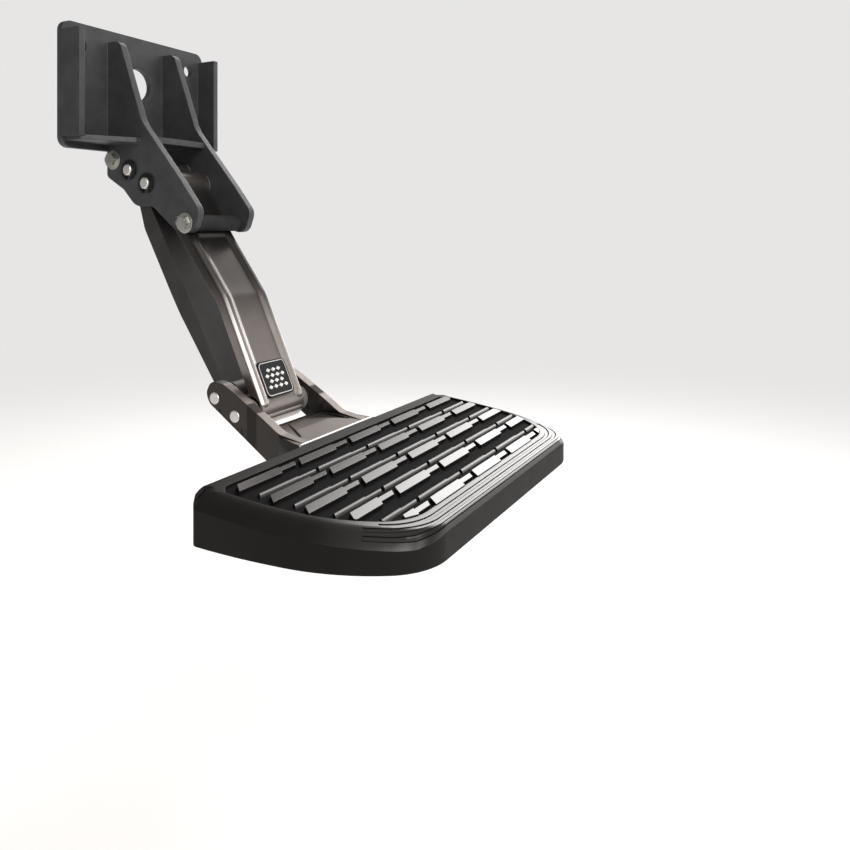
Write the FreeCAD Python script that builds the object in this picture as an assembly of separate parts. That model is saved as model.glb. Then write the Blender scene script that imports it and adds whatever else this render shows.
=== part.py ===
import FreeCAD, Part
import math
import os

# Fold-out truck bed-side step: a bracket bolted to the frame rail carries two
# cast arms (a parallelogram) that hold a step casting with a moulded deck.
# Frame, millimetres: +X truck forward, +Y inboard (towards the rail), +Z up.
# Origin: centre of the bracket's bolt pattern on its rail face.
# The model is drawn with the step folded out, ready to stand on.

V = FreeCAD.Vector

# ---------------------------------------------------------------- dimensions
SKETCH_DATUM = (-232.0, -268.0)    # (Y, Z) that the side-view tables measure from

# Linkage
LINK = 200.0                       # pivot-to-pivot length of each arm
LEAN = 30.0                        # arm lean from vertical when folded out
SPAN_Y, SPAN_Z = 19.5, 11.3        # inner pivots relative to the outer pivots
OUTER_LOW = (-151.5, -251.0)       # outer arm, lower pivot (Y, Z)
SIN_LEAN = math.sin(math.radians(LEAN))
COS_LEAN = math.cos(math.radians(LEAN))
INNER_LOW = (OUTER_LOW[0] + SPAN_Y, OUTER_LOW[1] + SPAN_Z)
OUTER_TOP = (OUTER_LOW[0] + LINK * SIN_LEAN, OUTER_LOW[1] + LINK * COS_LEAN)
INNER_TOP = (OUTER_TOP[0] + SPAN_Y, OUTER_TOP[1] + SPAN_Z)

# Pins, bushes and arms
PIN_R = 4.5                        # all four hinge pins
RUN = 0.04                         # running clearance on radius in the bushes
FIX = 0.02                         # fixed-fit clearance on radius
OPEN_RUN = 0.09                    # the pivot that closes the linkage
ARM_W = 25.0                       # half width of both arms
OUTER_BARREL_R, INNER_BARREL_R = 12.8, 9.2
OUTER_BUSH_R, INNER_BUSH_R = 6.5, 6.0

# Bracket
CHEEK_IN, CHEEK_T = 26.3, 6.0      # inner face from the middle, and thickness
CHEEK_OUT = CHEEK_IN + CHEEK_T
PLATE_T = 6.0
PLATE_W, PLATE_H = 75.0, 50.0      # half width and half height of rail plate
BOLT_X, BOLT_Z, BOLT_R = 58.0, 32.0, 5.5
SHELF_BOTTOM = -45.0
DEPLOY_STOP = (-92.9, -109.6)      # folded-out stop bolt (Y, Z)
STOW_STOP = (-12.7, -57.4)         # folded-up stop bolt
STOP_HOLE_R = 3.1
STOP_HEX = 10.0                    # across flats, heads and nuts

# Step casting
FLANGE_IN, FLANGE_T = 33.5, 8.0    # side flanges
FLANGE_OUT = FLANGE_IN + FLANGE_T
LOW_PIN_END = FLANGE_OUT + 0.8
PLATE_TOP, PLATE_BOTTOM = -11.0, -15.0   # support plate, heights from the deck top
LOCK_SCREWS = [(-137.4, -247.7), (-157.8, -260.7)]   # (Y, Z), one beside each pin

# Deck; (x, v, h) = along the truck, outboard along the top, above the top
TILT = 5.55                        # deck top slopes down outboard
SIN_TILT = math.sin(math.radians(TILT))
COS_TILT = math.cos(math.radians(TILT))
TAN_TILT = math.tan(math.radians(TILT))
DECK_REF = (-285.1, -268.0)        # (Y, Z) of a point on the deck's top plane
V_REF = 53.1                       # its distance outboard from the first tread row
DECK_UP = V(0, -SIN_TILT, COS_TILT)
V_IN, V_OUT = -15.2, 121.5         # inboard and outboard edges
END_X = 155.5                      # half length at the inboard corners
SKIN = 4.2                         # deck top skin including the tread field
WALL = 3.2
FIELD = 1.7                        # depth of the tread field below the rim
SCREW_R = 3.0
SCREWS = [(-99.0, 42.0), (99.0, 42.0), (-22.0, 17.0),
          (22.0, 17.0), (-22.0, 80.0), (22.0, 80.0)]    # (x, v)


# ------------------------------------------------------------------- helpers
def sketch(y, z, radius=0.0):
    """Side-view corner, measured from the sketch datum."""
    return (y + SKETCH_DATUM[0], z + SKETCH_DATUM[1], radius)


def sketch_all(table):
    return [sketch(*row) for row in table]


def along(point, direction, distance):
    """(Y, Z) point moved by a distance along a (Y, Z) direction."""
    return (point[0] + direction[0] * distance, point[1] + direction[1] * distance)


def on_side(s, a, b):
    """X range from a to b on the +X side (s = 1) or the -X side (s = -1)."""
    return sorted((s * a, s * b))


def mirrored(points):
    """Points followed by their mirror images in X, in reverse order."""
    return points + [(-p[0], *p[1:]) for p in reversed(points)]


def cyl(y, z, r, x0, x1):
    return Part.makeCylinder(r, x1 - x0, V(x0, y, z), V(1, 0, 0))


def tube(y, z, outer_r, inner_r, x0, x1):
    return cyl(y, z, outer_r, x0, x1).cut(cyl(y, z, inner_r, x0 - 1, x1 + 1))


def tube_pair(y, z, outer_r, inner_r, a, b):
    """Equal tubes at both sides, between distances a and b from the middle."""
    return [tube(y, z, outer_r, inner_r, *on_side(s, a, b)) for s in (-1, 1)]


def box(x0, x1, y0, y1, z0, z1):
    return Part.makeBox(x1 - x0, y1 - y0, z1 - z0, V(x0, y0, z0))


def unit(v):
    return v * (1.0 / v.Length)


def arc_middle(center, start, end, radius):
    return center + unit((start + end) * 0.5 - center) * radius


def flat_face(points):
    return Part.Face(Part.makePolygon(points + [points[0]]))


def rounded_wire(corners):
    """Closed wire through (a, b, radius) corners; radius may be missing."""
    n = len(corners)
    bends = []                     # (start, middle or None, end) at each corner
    for i in range(n):
        p = V(corners[i][0], corners[i][1], 0)
        radius = corners[i][2] if len(corners[i]) > 2 else 0.0
        if radius <= 0:
            bends.append((p, None, p))
            continue
        following = corners[(i + 1) % n]
        back = V(corners[i - 1][0], corners[i - 1][1], 0) - p
        ahead = V(following[0], following[1], 0) - p
        longest = 0.47 * min(back.Length, ahead.Length)
        back, ahead = unit(back), unit(ahead)
        half = math.acos(max(-1, min(1, back.dot(ahead)))) / 2
        setback = min(radius / math.tan(half), longest)
        radius = setback * math.tan(half)
        center = p + unit(back + ahead) * (radius / math.sin(half))
        middle = center + unit(p - center) * radius
        bends.append((p + back * setback, middle, p + ahead * setback))
    edges = []
    for i in range(n):
        start, middle, end = bends[i]
        if middle is not None:
            edges.append(Part.Arc(start, middle, end).toShape())
        following = bends[(i + 1) % n][0]
        if end.distanceToPoint(following) > 1e-6:
            edges.append(Part.makeLine(end, following))
    return Part.Wire(edges)


def rounded_plate(half_w, half_h, radius, thickness):
    corners = [(-half_w, -half_h, radius), (half_w, -half_h, radius),
               (half_w, half_h, radius), (-half_w, half_h, radius)]
    return Part.Face(rounded_wire(corners)).extrude(V(0, 0, thickness))


def side(corners, x0, x1):
    """Extrude a rounded polygon given in (Y, Z) from x0 to x1."""
    to_side = FreeCAD.Matrix(0, 0, 1, x0, 1, 0, 0, 0, 0, 1, 0, 0, 0, 0, 0, 1)
    wire = rounded_wire(corners).transformGeometry(to_side)
    return Part.Face(wire).extrude(V(x1 - x0, 0, 0))


def plan(corners, z0, z1):
    """Extrude a rounded polygon given in (X, Y) from z0 to z1."""
    wire = rounded_wire(corners)
    wire.translate(V(0, 0, z0))
    return Part.Face(wire).extrude(V(0, 0, z1 - z0))


def hex_bar(y, z, flats, x0, x1):
    r = flats / math.sqrt(3)
    angles = [math.radians(60 * i) for i in range(6)]
    return side([(y + r * math.cos(a), z + r * math.sin(a)) for a in angles], x0, x1)


def fuse(shapes):
    return shapes[0].multiFuse(shapes[1:]).removeSplitter()


def group(shapes):
    return Part.makeCompound(shapes)


def ease_edges(shape, edges, size, chamfer=False):
    """Fillet or chamfer edges; guards against the kernel refusing the edge treatment
    or spoiling the solid, in which case the edges stay sharp."""
    try:
        s = shape.makeChamfer(size, edges) if chamfer else shape.makeFillet(size, edges)
        if s.isValid() and s.Volume > 0:
            return s
    except Exception:
        pass
    return shape


def chamfer_ends(pin, half_length, size):
    ends = [e for e in pin.Edges if abs(abs(e.BoundBox.Center.x) - half_length) < 0.01]
    return ease_edges(pin, ends, size, True)


def on_deck(x, v, h):
    """Point on the deck: x along the truck, v outboard along the top, h above it."""
    w = v - V_REF
    return V(x, DECK_REF[0] - w * COS_TILT - h * SIN_TILT,
             DECK_REF[1] - w * SIN_TILT + h * COS_TILT)


def deck_prism(points, h0, h1):
    """Prism square to the deck's top over (x, v) points."""
    return flat_face([on_deck(x, v, h0) for x, v in points]).extrude(DECK_UP * (h1 - h0))


def deck_box(x0, x1, v0, v1, h0, h1):
    return deck_prism([(x0, v0), (x1, v0), (x1, v1), (x0, v1)], h0, h1)


def deck_cyl(r, length, x, v, h):
    """Cylinder rising square to the deck's top from height h."""
    return Part.makeCylinder(r, length, on_deck(x, v, h), DECK_UP)


def winding(polygon):
    """1 for an anticlockwise polygon, -1 for a clockwise one."""
    n = len(polygon)
    area = sum(polygon[i][0] * polygon[(i + 1) % n][1]
               - polygon[(i + 1) % n][0] * polygon[i][1] for i in range(n))
    return 1.0 if area > 0 else -1.0


def inset(points, distance):
    """Inset a simple polygon (mitred)."""
    n = len(points)
    sign = winding(points)
    lines = []                     # a point on each shifted edge, and its direction
    for i in range(n):
        (x1, y1), (x2, y2) = points[i], points[(i + 1) % n]
        length = math.hypot(x2 - x1, y2 - y1)
        dx, dy = (x2 - x1) / length, (y2 - y1) / length
        lines.append((x1 - dy * sign * distance, y1 + dx * sign * distance, dx, dy))
    out = []
    for i in range(n):
        x1, y1, dx1, dy1 = lines[i - 1]
        x2, y2, dx2, dy2 = lines[i]
        cross = dx1 * dy2 - dy1 * dx2
        if abs(cross) < 1e-4:
            out.append((x2, y2))
            continue
        t = ((x2 - x1) * dy2 - (y2 - y1) * dx2) / cross
        out.append((x1 + dx1 * t, y1 + dy1 * t))
    return out


def clip(polygon, region):
    """Clip a polygon to a convex region; empty when nothing is left."""
    n = len(region)
    sign = winding(region)
    out = list(polygon)
    for i in range(n):
        (x1, y1), (x2, y2) = region[i], region[(i + 1) % n]

        def depth(p):
            return sign * ((x2 - x1) * (p[1] - y1) - (y2 - y1) * (p[0] - x1))

        source, out = out, []
        for j in range(len(source)):
            p, q = source[j - 1], source[j]
            depth_p, depth_q = depth(p), depth(q)
            if (depth_p >= -1e-9) != (depth_q >= -1e-9):
                t = depth_p / (depth_p - depth_q)
                out.append((p[0] + t * (q[0] - p[0]), p[1] + t * (q[1] - p[1])))
            if depth_q >= -1e-9:
                out.append(q)
        if len(out) < 3:
            return []

    # drop near-duplicate points
    def gap(p, q):
        return math.hypot(p[0] - q[0], p[1] - q[1])

    kept = []
    for p in out:
        if not kept or gap(p, kept[-1]) > 0.35:
            kept.append(p)
    while len(kept) > 2 and gap(kept[0], kept[-1]) < 0.35:
        kept.pop()
    return kept if len(kept) >= 3 else []


# ------------------------------------------------------------------- bracket
CHEEK = [   # y, z, corner radius, from the sketch datum
    (226.5, 308), (212, 308, 8), (186, 240, 30), (142, 190, 30), (124, 168, 9),
    (131, 149, 9), (152, 155, 20), (174, 172, 10), (193, 172, 14), (207, 186, 12),
    (226.5, 197, 5)]
GUSSET = [  # x, y, corner radius
    (-PLATE_W + 2, -5.5), (PLATE_W - 2, -5.5), (PLATE_W - 2, -24, 3),
    (36, -44, 3), (-36, -44, 3), (-PLATE_W + 2, -24, 3)]
LIP_T = 5.0                        # lips at both ends of the rail plate


def mount_bracket():
    plate = rounded_plate(PLATE_W, PLATE_H, 8, PLATE_T)
    plate.rotate(V(0, 0, 0), V(1, 0, 0), 90)      # now spans Y from -PLATE_T to 0
    lips = [box(x, x + LIP_T, -26, -1, -PLATE_H + 8, PLATE_H - 8)
            for x in (-PLATE_W, PLATE_W - LIP_T)]
    shelf = box(-CHEEK_IN - 1, CHEEK_IN + 1, -56, -5, SHELF_BOTTOM, SHELF_BOTTOM + 5)
    gusset = plan(GUSSET, SHELF_BOTTOM, SHELF_BOTTOM + 4)
    cheeks = [side(sketch_all(CHEEK), *on_side(s, CHEEK_IN, CHEEK_OUT)) for s in (1, -1)]
    bracket = fuse([plate] + lips + [shelf, gusset] + cheeks)
    for sx in (-1, 1):
        for sz in (-1, 1):
            corner = V(sx * BOLT_X, -20, sz * BOLT_Z)
            bracket = bracket.cut(Part.makeCylinder(BOLT_R, 40, corner, V(0, 1, 0)))
    # lightening hole
    bracket = bracket.cut(Part.makeCylinder(14, 40, V(0, -20, 10), V(0, 1, 0)))
    for place, r in ((OUTER_TOP, PIN_R), (INNER_TOP, PIN_R),
                     (DEPLOY_STOP, STOP_HOLE_R), (STOW_STOP, STOP_HOLE_R)):
        bracket = bracket.cut(cyl(*place, r + FIX, -60, 60))
    return bracket


def stop_bolt(y, z):
    """Flanged hex bolt with its head on the -X side."""
    head_end, head_t = -CHEEK_OUT - 4.5, 3.95
    head = hex_bar(y, z, STOP_HEX, head_end, head_end + head_t)
    head = head.common(Part.makeCone(5.0, 8.9, head_t, V(head_end, y, z), V(1, 0, 0)))
    return fuse([head, cyl(y, z, 8.0, -CHEEK_OUT - 0.56, -CHEEK_OUT - 0.02),
                 cyl(y, z, 3.08, -CHEEK_OUT - 0.5, CHEEK_OUT + 7.2)])


def stop_nut(y, z):
    nut = hex_bar(y, z, STOP_HEX, CHEEK_OUT + 0.03, CHEEK_OUT + 5.2)
    return nut.cut(cyl(y, z, STOP_HOLE_R, CHEEK_OUT - 1, CHEEK_OUT + 6))


def stop_sleeve(place, r):
    return tube(*place, r, 3.12, -CHEEK_IN + 0.1, CHEEK_IN - 0.1)


# ------------------------------------------------------ upper pins and clips
UPPER_PIN_END = CHEEK_OUT + 3.6
CLIP_X = CHEEK_OUT + 1.15          # middle of the clips and their grooves


def upper_pin(y, z):
    pin = cyl(y, z, PIN_R, -UPPER_PIN_END, UPPER_PIN_END)
    for s in (-1, 1):
        x = s * CLIP_X
        pin = pin.cut(tube(y, z, PIN_R + 1, 3.6, x - 0.55, x + 0.55))
    return chamfer_ends(pin, UPPER_PIN_END, 0.7)


def pin_clip(y, z, x):
    """Ring open at the bottom, with an eye at each side of the mouth."""
    ring = tube(y, z, 8.2, 3.62, x - 0.5, x + 0.5)
    ring = ring.cut(box(x - 2, x + 2, y - 2.4, y + 2.4, z - 10, z))
    for q in (-1, 1):
        ring = ring.cut(cyl(y + q * 4.6, z - 5.0, 0.9, x - 2, x + 2))
    return ring


def upper_thrust_washers():
    washers = []
    for pivot, r in ((OUTER_TOP, 12.0), (INNER_TOP, 9.0)):
        washers += tube_pair(*pivot, r, PIN_R + RUN, ARM_W + 0.1, CHEEK_IN - 0.1)
    return group(washers)


# ------------------------------------------------------------- return spring
COIL_R, WIRE_R, PITCH = 6.45, 1.2, 2.55
TURNS = 7.0 + LEAN / 360.0         # the legs stand apart by the arm's lean


def return_spring():
    """Torsion spring round the upper inner pin: the coil ends on its +Y side, where
    one leg rises to the shelf, and starts where the other leg runs down the arm."""
    x_start = -TURNS * PITCH / 2
    helix = Part.Wire(Part.makeHelix(PITCH, PITCH * TURNS, COIL_R))
    profile = Part.Wire(Part.makeCircle(WIRE_R, V(COIL_R, 0, 0), V(0, 1, 0)))
    coil = helix.makePipeShell([profile], True, True)
    coil.rotate(V(0, 0, 0), V(0, 0, 1), -LEAN)
    # turn the coil's axis onto X, with its start angle measured from +Y towards +Z
    coil.rotate(V(0, 0, 0), V(1, 1, 1), 120)
    coil_start = V(x_start, *INNER_TOP)
    coil.translate(coil_start)
    leg_up = Part.makeCylinder(WIRE_R, SHELF_BOTTOM - 0.05 - INNER_TOP[1],
                               V(-x_start, INNER_TOP[0] + COIL_R, INNER_TOP[1]), V(0, 0, 1))
    leg_start = coil_start + V(0, COS_LEAN, -SIN_LEAN) * COIL_R
    leg_down = Part.makeCylinder(WIRE_R, 36.0, leg_start, V(0, -SIN_LEAN, -COS_LEAN))
    return fuse([coil, leg_up, leg_down])


# ----------------------------------------------------------------- outer arm
KNEE_SKETCH = (104.9, 102.0)       # knee of the outboard face, from the sketch datum
KNEE = sketch(*KNEE_SKETCH)[:2]
DIR_LOW = (0.4287, 0.9035)         # outboard face direction below the knee
DIR_UP = (0.6018, 0.7986)          # and above it
OUT_NORMAL_LOW = (-DIR_LOW[1], DIR_LOW[0])
OUT_NORMAL_UP = (-DIR_UP[1], DIR_UP[0])
IN_NORMAL_LOW = (DIR_LOW[1], -DIR_LOW[0])
IN_NORMAL_UP = (DIR_UP[1], -DIR_UP[0])
OUTER_ARM = [   # y, z, corner radius, from the sketch datum
    (68.6, 19.5, 3), (67.2, 22.6, 2), (*KNEE_SKETCH, 34), (160.8, 176.2, 12),
    (169.6, 196.8), (180.5, 190.2), (179.0, 181.6), (170.0, 167.0, 6), (150.0, 144.4, 20),
    (113.6, 96.4, 34), (83.2, 32.4, 6), (89.0, 26.4), (80.5, 17.0)]
PANEL_TOP_W, PANEL_BOTTOM_W, PANEL_D = 19.0, 17.2, 2.2   # half widths and depth
EDGE_BEVEL = 1.8
POCKET_KNEE = sketch(113.9, 96.5)[:2]


def face_sweep(profile, start, end, normal):
    """Sweep (x, height along the normal) points from start to end in the side view."""
    base, n = V(0, *start), V(0, *normal)
    points = [base + V(x, 0, 0) + n * height for x, height in profile]
    return flat_face(points).extrude(V(0, end[0] - start[0], end[1] - start[1]))


def groove(start, end, normal, half_top, half_bottom, depth, over=1.0):
    """Trapezoid groove, carried on above the face by `over`."""
    reach = half_top + (half_top - half_bottom) / depth * over
    profile = [(reach, over), (half_bottom, -depth), (-half_bottom, -depth), (-reach, over)]
    return face_sweep(profile, start, end, normal)


def bevel_strip(start, end, normal, s):
    """Cut-away prism for the long outer edge on side s."""
    edge, size = s * ARM_W, EDGE_BEVEL
    profile = [(edge - s * size, 0.0), (edge - s * size, 2.0), (edge + s * 2.0, 2.0),
               (edge + s * 2.0, -size), (edge, -size)]
    return face_sweep(profile, start, end, normal)


def outer_arm():
    barrels = [cyl(*p, OUTER_BARREL_R, -ARM_W, ARM_W) for p in (OUTER_LOW, OUTER_TOP)]
    arm = fuse([side(sketch_all(OUTER_ARM), -ARM_W, ARM_W)] + barrels)
    # bead along the lower barrel
    angle = math.radians(199)
    bead = along(OUTER_LOW, (math.cos(angle), math.sin(angle)), 12.4)
    arm = fuse([arm, cyl(*bead, 2.1, -ARM_W + 1.2, ARM_W - 1.2)])
    # the outboard panel's two runs meet at the knee
    panel = (PANEL_TOP_W, PANEL_BOTTOM_W, PANEL_D)
    arm = arm.cut(groove(along(KNEE, DIR_LOW, -86.0), KNEE, OUT_NORMAL_LOW, *panel))
    arm = arm.cut(groove(KNEE, along(KNEE, DIR_UP, 60.0), OUT_NORMAL_UP, *panel))
    for s in (-1, 1):
        arm = arm.cut(bevel_strip(along(KNEE, DIR_LOW, -90.0), KNEE, OUT_NORMAL_LOW, s))
        arm = arm.cut(bevel_strip(KNEE, along(KNEE, DIR_UP, 80.0), OUT_NORMAL_UP, s))
    # weight-saving pocket in the inboard face
    pocket = (19.5, 18.5, 4.2, 3.0)
    low_end = along(along(KNEE, DIR_LOW, -62.5), OUT_NORMAL_LOW, -10.5)
    top_end = along(POCKET_KNEE, DIR_UP, 45.0)
    arm = arm.cut(groove(low_end, POCKET_KNEE, IN_NORMAL_LOW, *pocket))
    arm = arm.cut(groove(POCKET_KNEE, top_end, IN_NORMAL_UP, *pocket))
    for pivot in (OUTER_LOW, OUTER_TOP):
        arm = arm.cut(cyl(*pivot, OUTER_BUSH_R + FIX, -ARM_W - 1, ARM_W + 1))
    return arm.removeSplitter()


def bushes(pivot, outer_r, clearance, length=14.0):
    return group(tube_pair(*pivot, outer_r, PIN_R + clearance, ARM_W - 0.05, ARM_W - length))


BADGE_W, BADGE_H, BADGE_T = 16.4, 14.4, 1.6      # half width, half height, thickness
BADGE_RIM = 1.5
BADGE_DOWN = 69.2                  # badge centre below the knee along the face


def badge():
    """Badge plate sitting in the outer arm's panel, with a sunk face."""
    plate = rounded_plate(BADGE_W, BADGE_H, 4, BADGE_T)
    recess = rounded_plate(BADGE_W - BADGE_RIM, BADGE_H - BADGE_RIM, 2.8, 2)
    recess.translate(V(0, 0, BADGE_T - 0.45))
    plate = plate.cut(recess)
    base = along(along(KNEE, DIR_LOW, -BADGE_DOWN), OUT_NORMAL_LOW, -(PANEL_D - 0.03))
    # local x -> X, local y -> up the arm, local z -> outward normal
    return plate.transformGeometry(FreeCAD.Matrix(
        1, 0, 0, 0,
        0, DIR_LOW[0], OUT_NORMAL_LOW[0], base[0],
        0, DIR_LOW[1], OUT_NORMAL_LOW[1], base[1],
        0, 0, 0, 1))


# ----------------------------------------------------------------- inner arm
FACE_BACK = 0.9                    # outboard face stands this far inboard of the pin line


def from_top_pin(down, back, radius=0.0):
    """Corner placed down the arm from its upper pin and inboard of the pin line."""
    return (INNER_TOP[0] - SIN_LEAN * down + COS_LEAN * back,
            INNER_TOP[1] - COS_LEAN * down - SIN_LEAN * back, radius)


INNER_ARM = [
    from_top_pin(0, FACE_BACK), from_top_pin(7, FACE_BACK), from_top_pin(11, 2.3, 3),
    from_top_pin(29, 2.3, 3), from_top_pin(34, FACE_BACK), from_top_pin(LINK, FACE_BACK),
    sketch(108.2, 25.6), sketch(116.6, 36.9, 6), sketch(133.8, 61.3, 40),
    sketch(151.7, 86.6, 40), sketch(160.6, 101.1, 40), from_top_pin(46, 16.0, 20),
    from_top_pin(21, 10.2, 10), from_top_pin(2, 9.0)]


def inner_arm():
    barrels = [cyl(*p, INNER_BARREL_R, -ARM_W, ARM_W) for p in (INNER_LOW, INNER_TOP)]
    arm = fuse([side(INNER_ARM, -ARM_W, ARM_W)] + barrels)
    # inboard pocket leaves a web on the outboard side and two side rails
    pocket = [from_top_pin(7, 5.2), from_top_pin(176, 5.2, 4),
              from_top_pin(176, 30), from_top_pin(7, 30)]
    arm = arm.cut(side(pocket, -18.5, 18.5))
    # two cross ribs in the pocket
    for down in (70.0, 125.0):
        rib = [from_top_pin(down - 2, 4.5), from_top_pin(down + 2, 4.5),
               from_top_pin(down + 2, 12.5), from_top_pin(down - 2, 12.5)]
        arm = fuse([arm, side(rib, -19, 19)])
    # the spring sits between two knuckles at the top
    arm = arm.cut(cyl(*INNER_TOP, 10.6, -11.6, 11.6))
    for pivot in (INNER_LOW, INNER_TOP):
        arm = arm.cut(cyl(*pivot, INNER_BUSH_R + FIX, -ARM_W - 1, ARM_W + 1))
    return arm.removeSplitter()


# -------------------------------------------------------------- step casting
# Outlines: y, z, corner radius, from the sketch datum
DECK_EDGE = [(15.9, 5.0), (15.9, 2.2, 1.2), (9.5, 1.0, 2.5), (0.0, -6.4, 3)]
FLANGE = [
    (104.8, 24.2, 7), (108.3, 31.5, 7), (103.5, 41.2, 7), (91.5, 39.4, 12), (81.5, 34.2, 30),
    (53.5, 17.6, 30), (40.0, 9.0, 16), *DECK_EDGE, (-91.0, -14.9), (-97.0, -17.5, 3),
    (-92.0, -22.5, 4), (14.0, -24.6, 12), (32.0, -22.5, 14), (49.4, -12.0, 14)]
FLOOR = [
    (67.3, 4.0), (66.9, 5.2, 0.8), (65.2, 5.75, 0.7), (62.8, 5.1, 1.2), (57.5, 7.2, 4),
    (40.0, 7.4, 10), *DECK_EDGE,
    (-8.0, -6.4 - 8.0 * 8.5 / 91.0),     # on the flange's slope under the deck
    (-8.0, -11.2), (-3.0, -10.8, 6), (10.0, -4.4, 8), (38.0, 1.2, 8), (58.0, 2.6, 4),
    (66.0, 0.8, 1)]
FLARE = [(60, 9.2), (46, 9.2, 4), (40.0, 7.4, 10), (15.8, 5.0), (15.8, -6.0), (46, -9.0)]
SUNK_TRIANGLE = [(31.5, 60.0, 9.5), (31.5, 27.0, 7.9), (8.0, 58.5, 9.4)]     # x, y, z
WINGS = mirrored([  # x, v, corner radius
    (-44, -2), (-62, 6), (-108, 20, 8), (-117, 42, 10), (-108, 62, 8), (-62, 78),
    (-44, 93, 6)])


def casting_floor():
    """Floor between the flanges: a raised centre with two sunk triangles."""
    floor = side(sketch_all(FLOOR), -FLANGE_IN - 1, FLANGE_IN + 1)
    for s in (-1, 1):
        corners = [V(s * x, *sketch(y, z)[:2]) for x, y, z in SUNK_TRIANGLE]
        floor = floor.cut(flat_face(corners).extrude(V(0, 0, -2.6)))
    return floor


def casting_flare(s):
    """Widening of the casting where it meets the deck, on side s."""
    outline = [(s * (FLANGE_OUT - 1.5), -186), (s * (FLANGE_OUT + 5.0), -212),
               (s * (FLANGE_OUT + 5.6), -216.1), (s * (FLANGE_OUT - 1.5), -216.1)]
    return plan(outline, -280, -248).common(side(sketch_all(FLARE), -60, 60))


def support_plate():
    """Plate under the deck with two wings."""
    to_deck = FreeCAD.Matrix(
        1, 0, 0, 0,
        0, -COS_TILT, -SIN_TILT, DECK_REF[0] + V_REF * COS_TILT - PLATE_BOTTOM * SIN_TILT,
        0, -SIN_TILT, COS_TILT, DECK_REF[1] + V_REF * SIN_TILT + PLATE_BOTTOM * COS_TILT,
        0, 0, 0, 1)
    face = Part.Face(rounded_wire(WINGS).transformGeometry(to_deck))
    return face.extrude(DECK_UP * (PLATE_TOP - PLATE_BOTTOM))


def step_casting():
    flanges = [side(sketch_all(FLANGE), *on_side(s, FLANGE_IN, FLANGE_OUT)) for s in (1, -1)]
    flares = [casting_flare(s) for s in (-1, 1)]
    lip = cyl(-215.0, -262.95, 1.2, -FLANGE_OUT - 5.4, FLANGE_OUT + 5.4)
    rib_top = PLATE_BOTTOM + 0.5
    ribs = [deck_box(s * 40, s * 107, v - 1.5, v + 1.5, PLATE_BOTTOM - 4.5, rib_top)
            for s in (-1, 1) for v in (31.0, 53.0)]
    cross_rib = deck_box(-35, 35, 46, 49, PLATE_BOTTOM - 5.5, rib_top)
    casting = fuse(flanges + [casting_floor()] + flares
                   + [lip, support_plate(), cross_rib] + ribs)
    for x, v in SCREWS:
        casting = casting.cut(deck_cyl(SCREW_R + 0.3, 20, x, v, PLATE_BOTTOM - 8))
    for pivot in (OUTER_LOW, INNER_LOW):
        casting = casting.cut(cyl(*pivot, PIN_R + FIX, -60, 60))
    # lock-screw holes into the flanges beside each pin
    for place in LOCK_SCREWS:
        for s in (-1, 1):
            hole = cyl(*place, 1.52, *on_side(s, FLANGE_OUT + 1, FLANGE_OUT - 5.5))
            casting = casting.cut(hole)
    return casting.removeSplitter()


def lower_pin(pivot):
    return chamfer_ends(cyl(*pivot, PIN_R, -LOW_PIN_END, LOW_PIN_END), LOW_PIN_END, 0.6)


def lower_spacers():
    spacers = []
    for pivot, r in ((OUTER_LOW, 10.0), (INNER_LOW, 8.0)):
        spacers += tube_pair(*pivot, r, PIN_R + FIX, ARM_W + 0.12, FLANGE_IN - 0.05)
    return group(spacers)


def lock_screw(y, z, s):
    """Headless screw with a hex socket in its outer end."""
    screw = cyl(y, z, 1.5, *on_side(s, FLANGE_OUT - 0.25, FLANGE_OUT - 5.4))
    return screw.cut(hex_bar(y, z, 1.4, *on_side(s, FLANGE_OUT, FLANGE_OUT - 1.6)))


# -------------------------------------------------------------- deck outline
END_CURVE = [(150.9, 52.0), (129.2, 105.0)]      # (x, v) where the end arcs meet
CORNER_V = -8.0                    # where the inboard corner chamfer meets the end
CORNER_X = 148.3                   # where it meets the inboard edge
CORNER_R = 4.0                     # rounding of both ends of the chamfer


def plan_point(x, v):
    """Deck point at skirt height, dropped to Z = 0."""
    return V(x, on_deck(x, v, -5.0).y, 0)


def tangent_arc(start, tangent, end):
    """Arc leaving start along a unit tangent: (middle point, end tangent)."""
    chord = end - start
    normal = V(-tangent.y, tangent.x, 0)
    radius = chord.dot(chord) / (2 * chord.dot(normal))
    center = start + normal * radius
    spoke = end - center
    end_tangent = unit(V(-spoke.y, spoke.x, 0) * (1.0 if radius > 0 else -1.0))
    return arc_middle(center, start, end, abs(radius)), end_tangent


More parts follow.
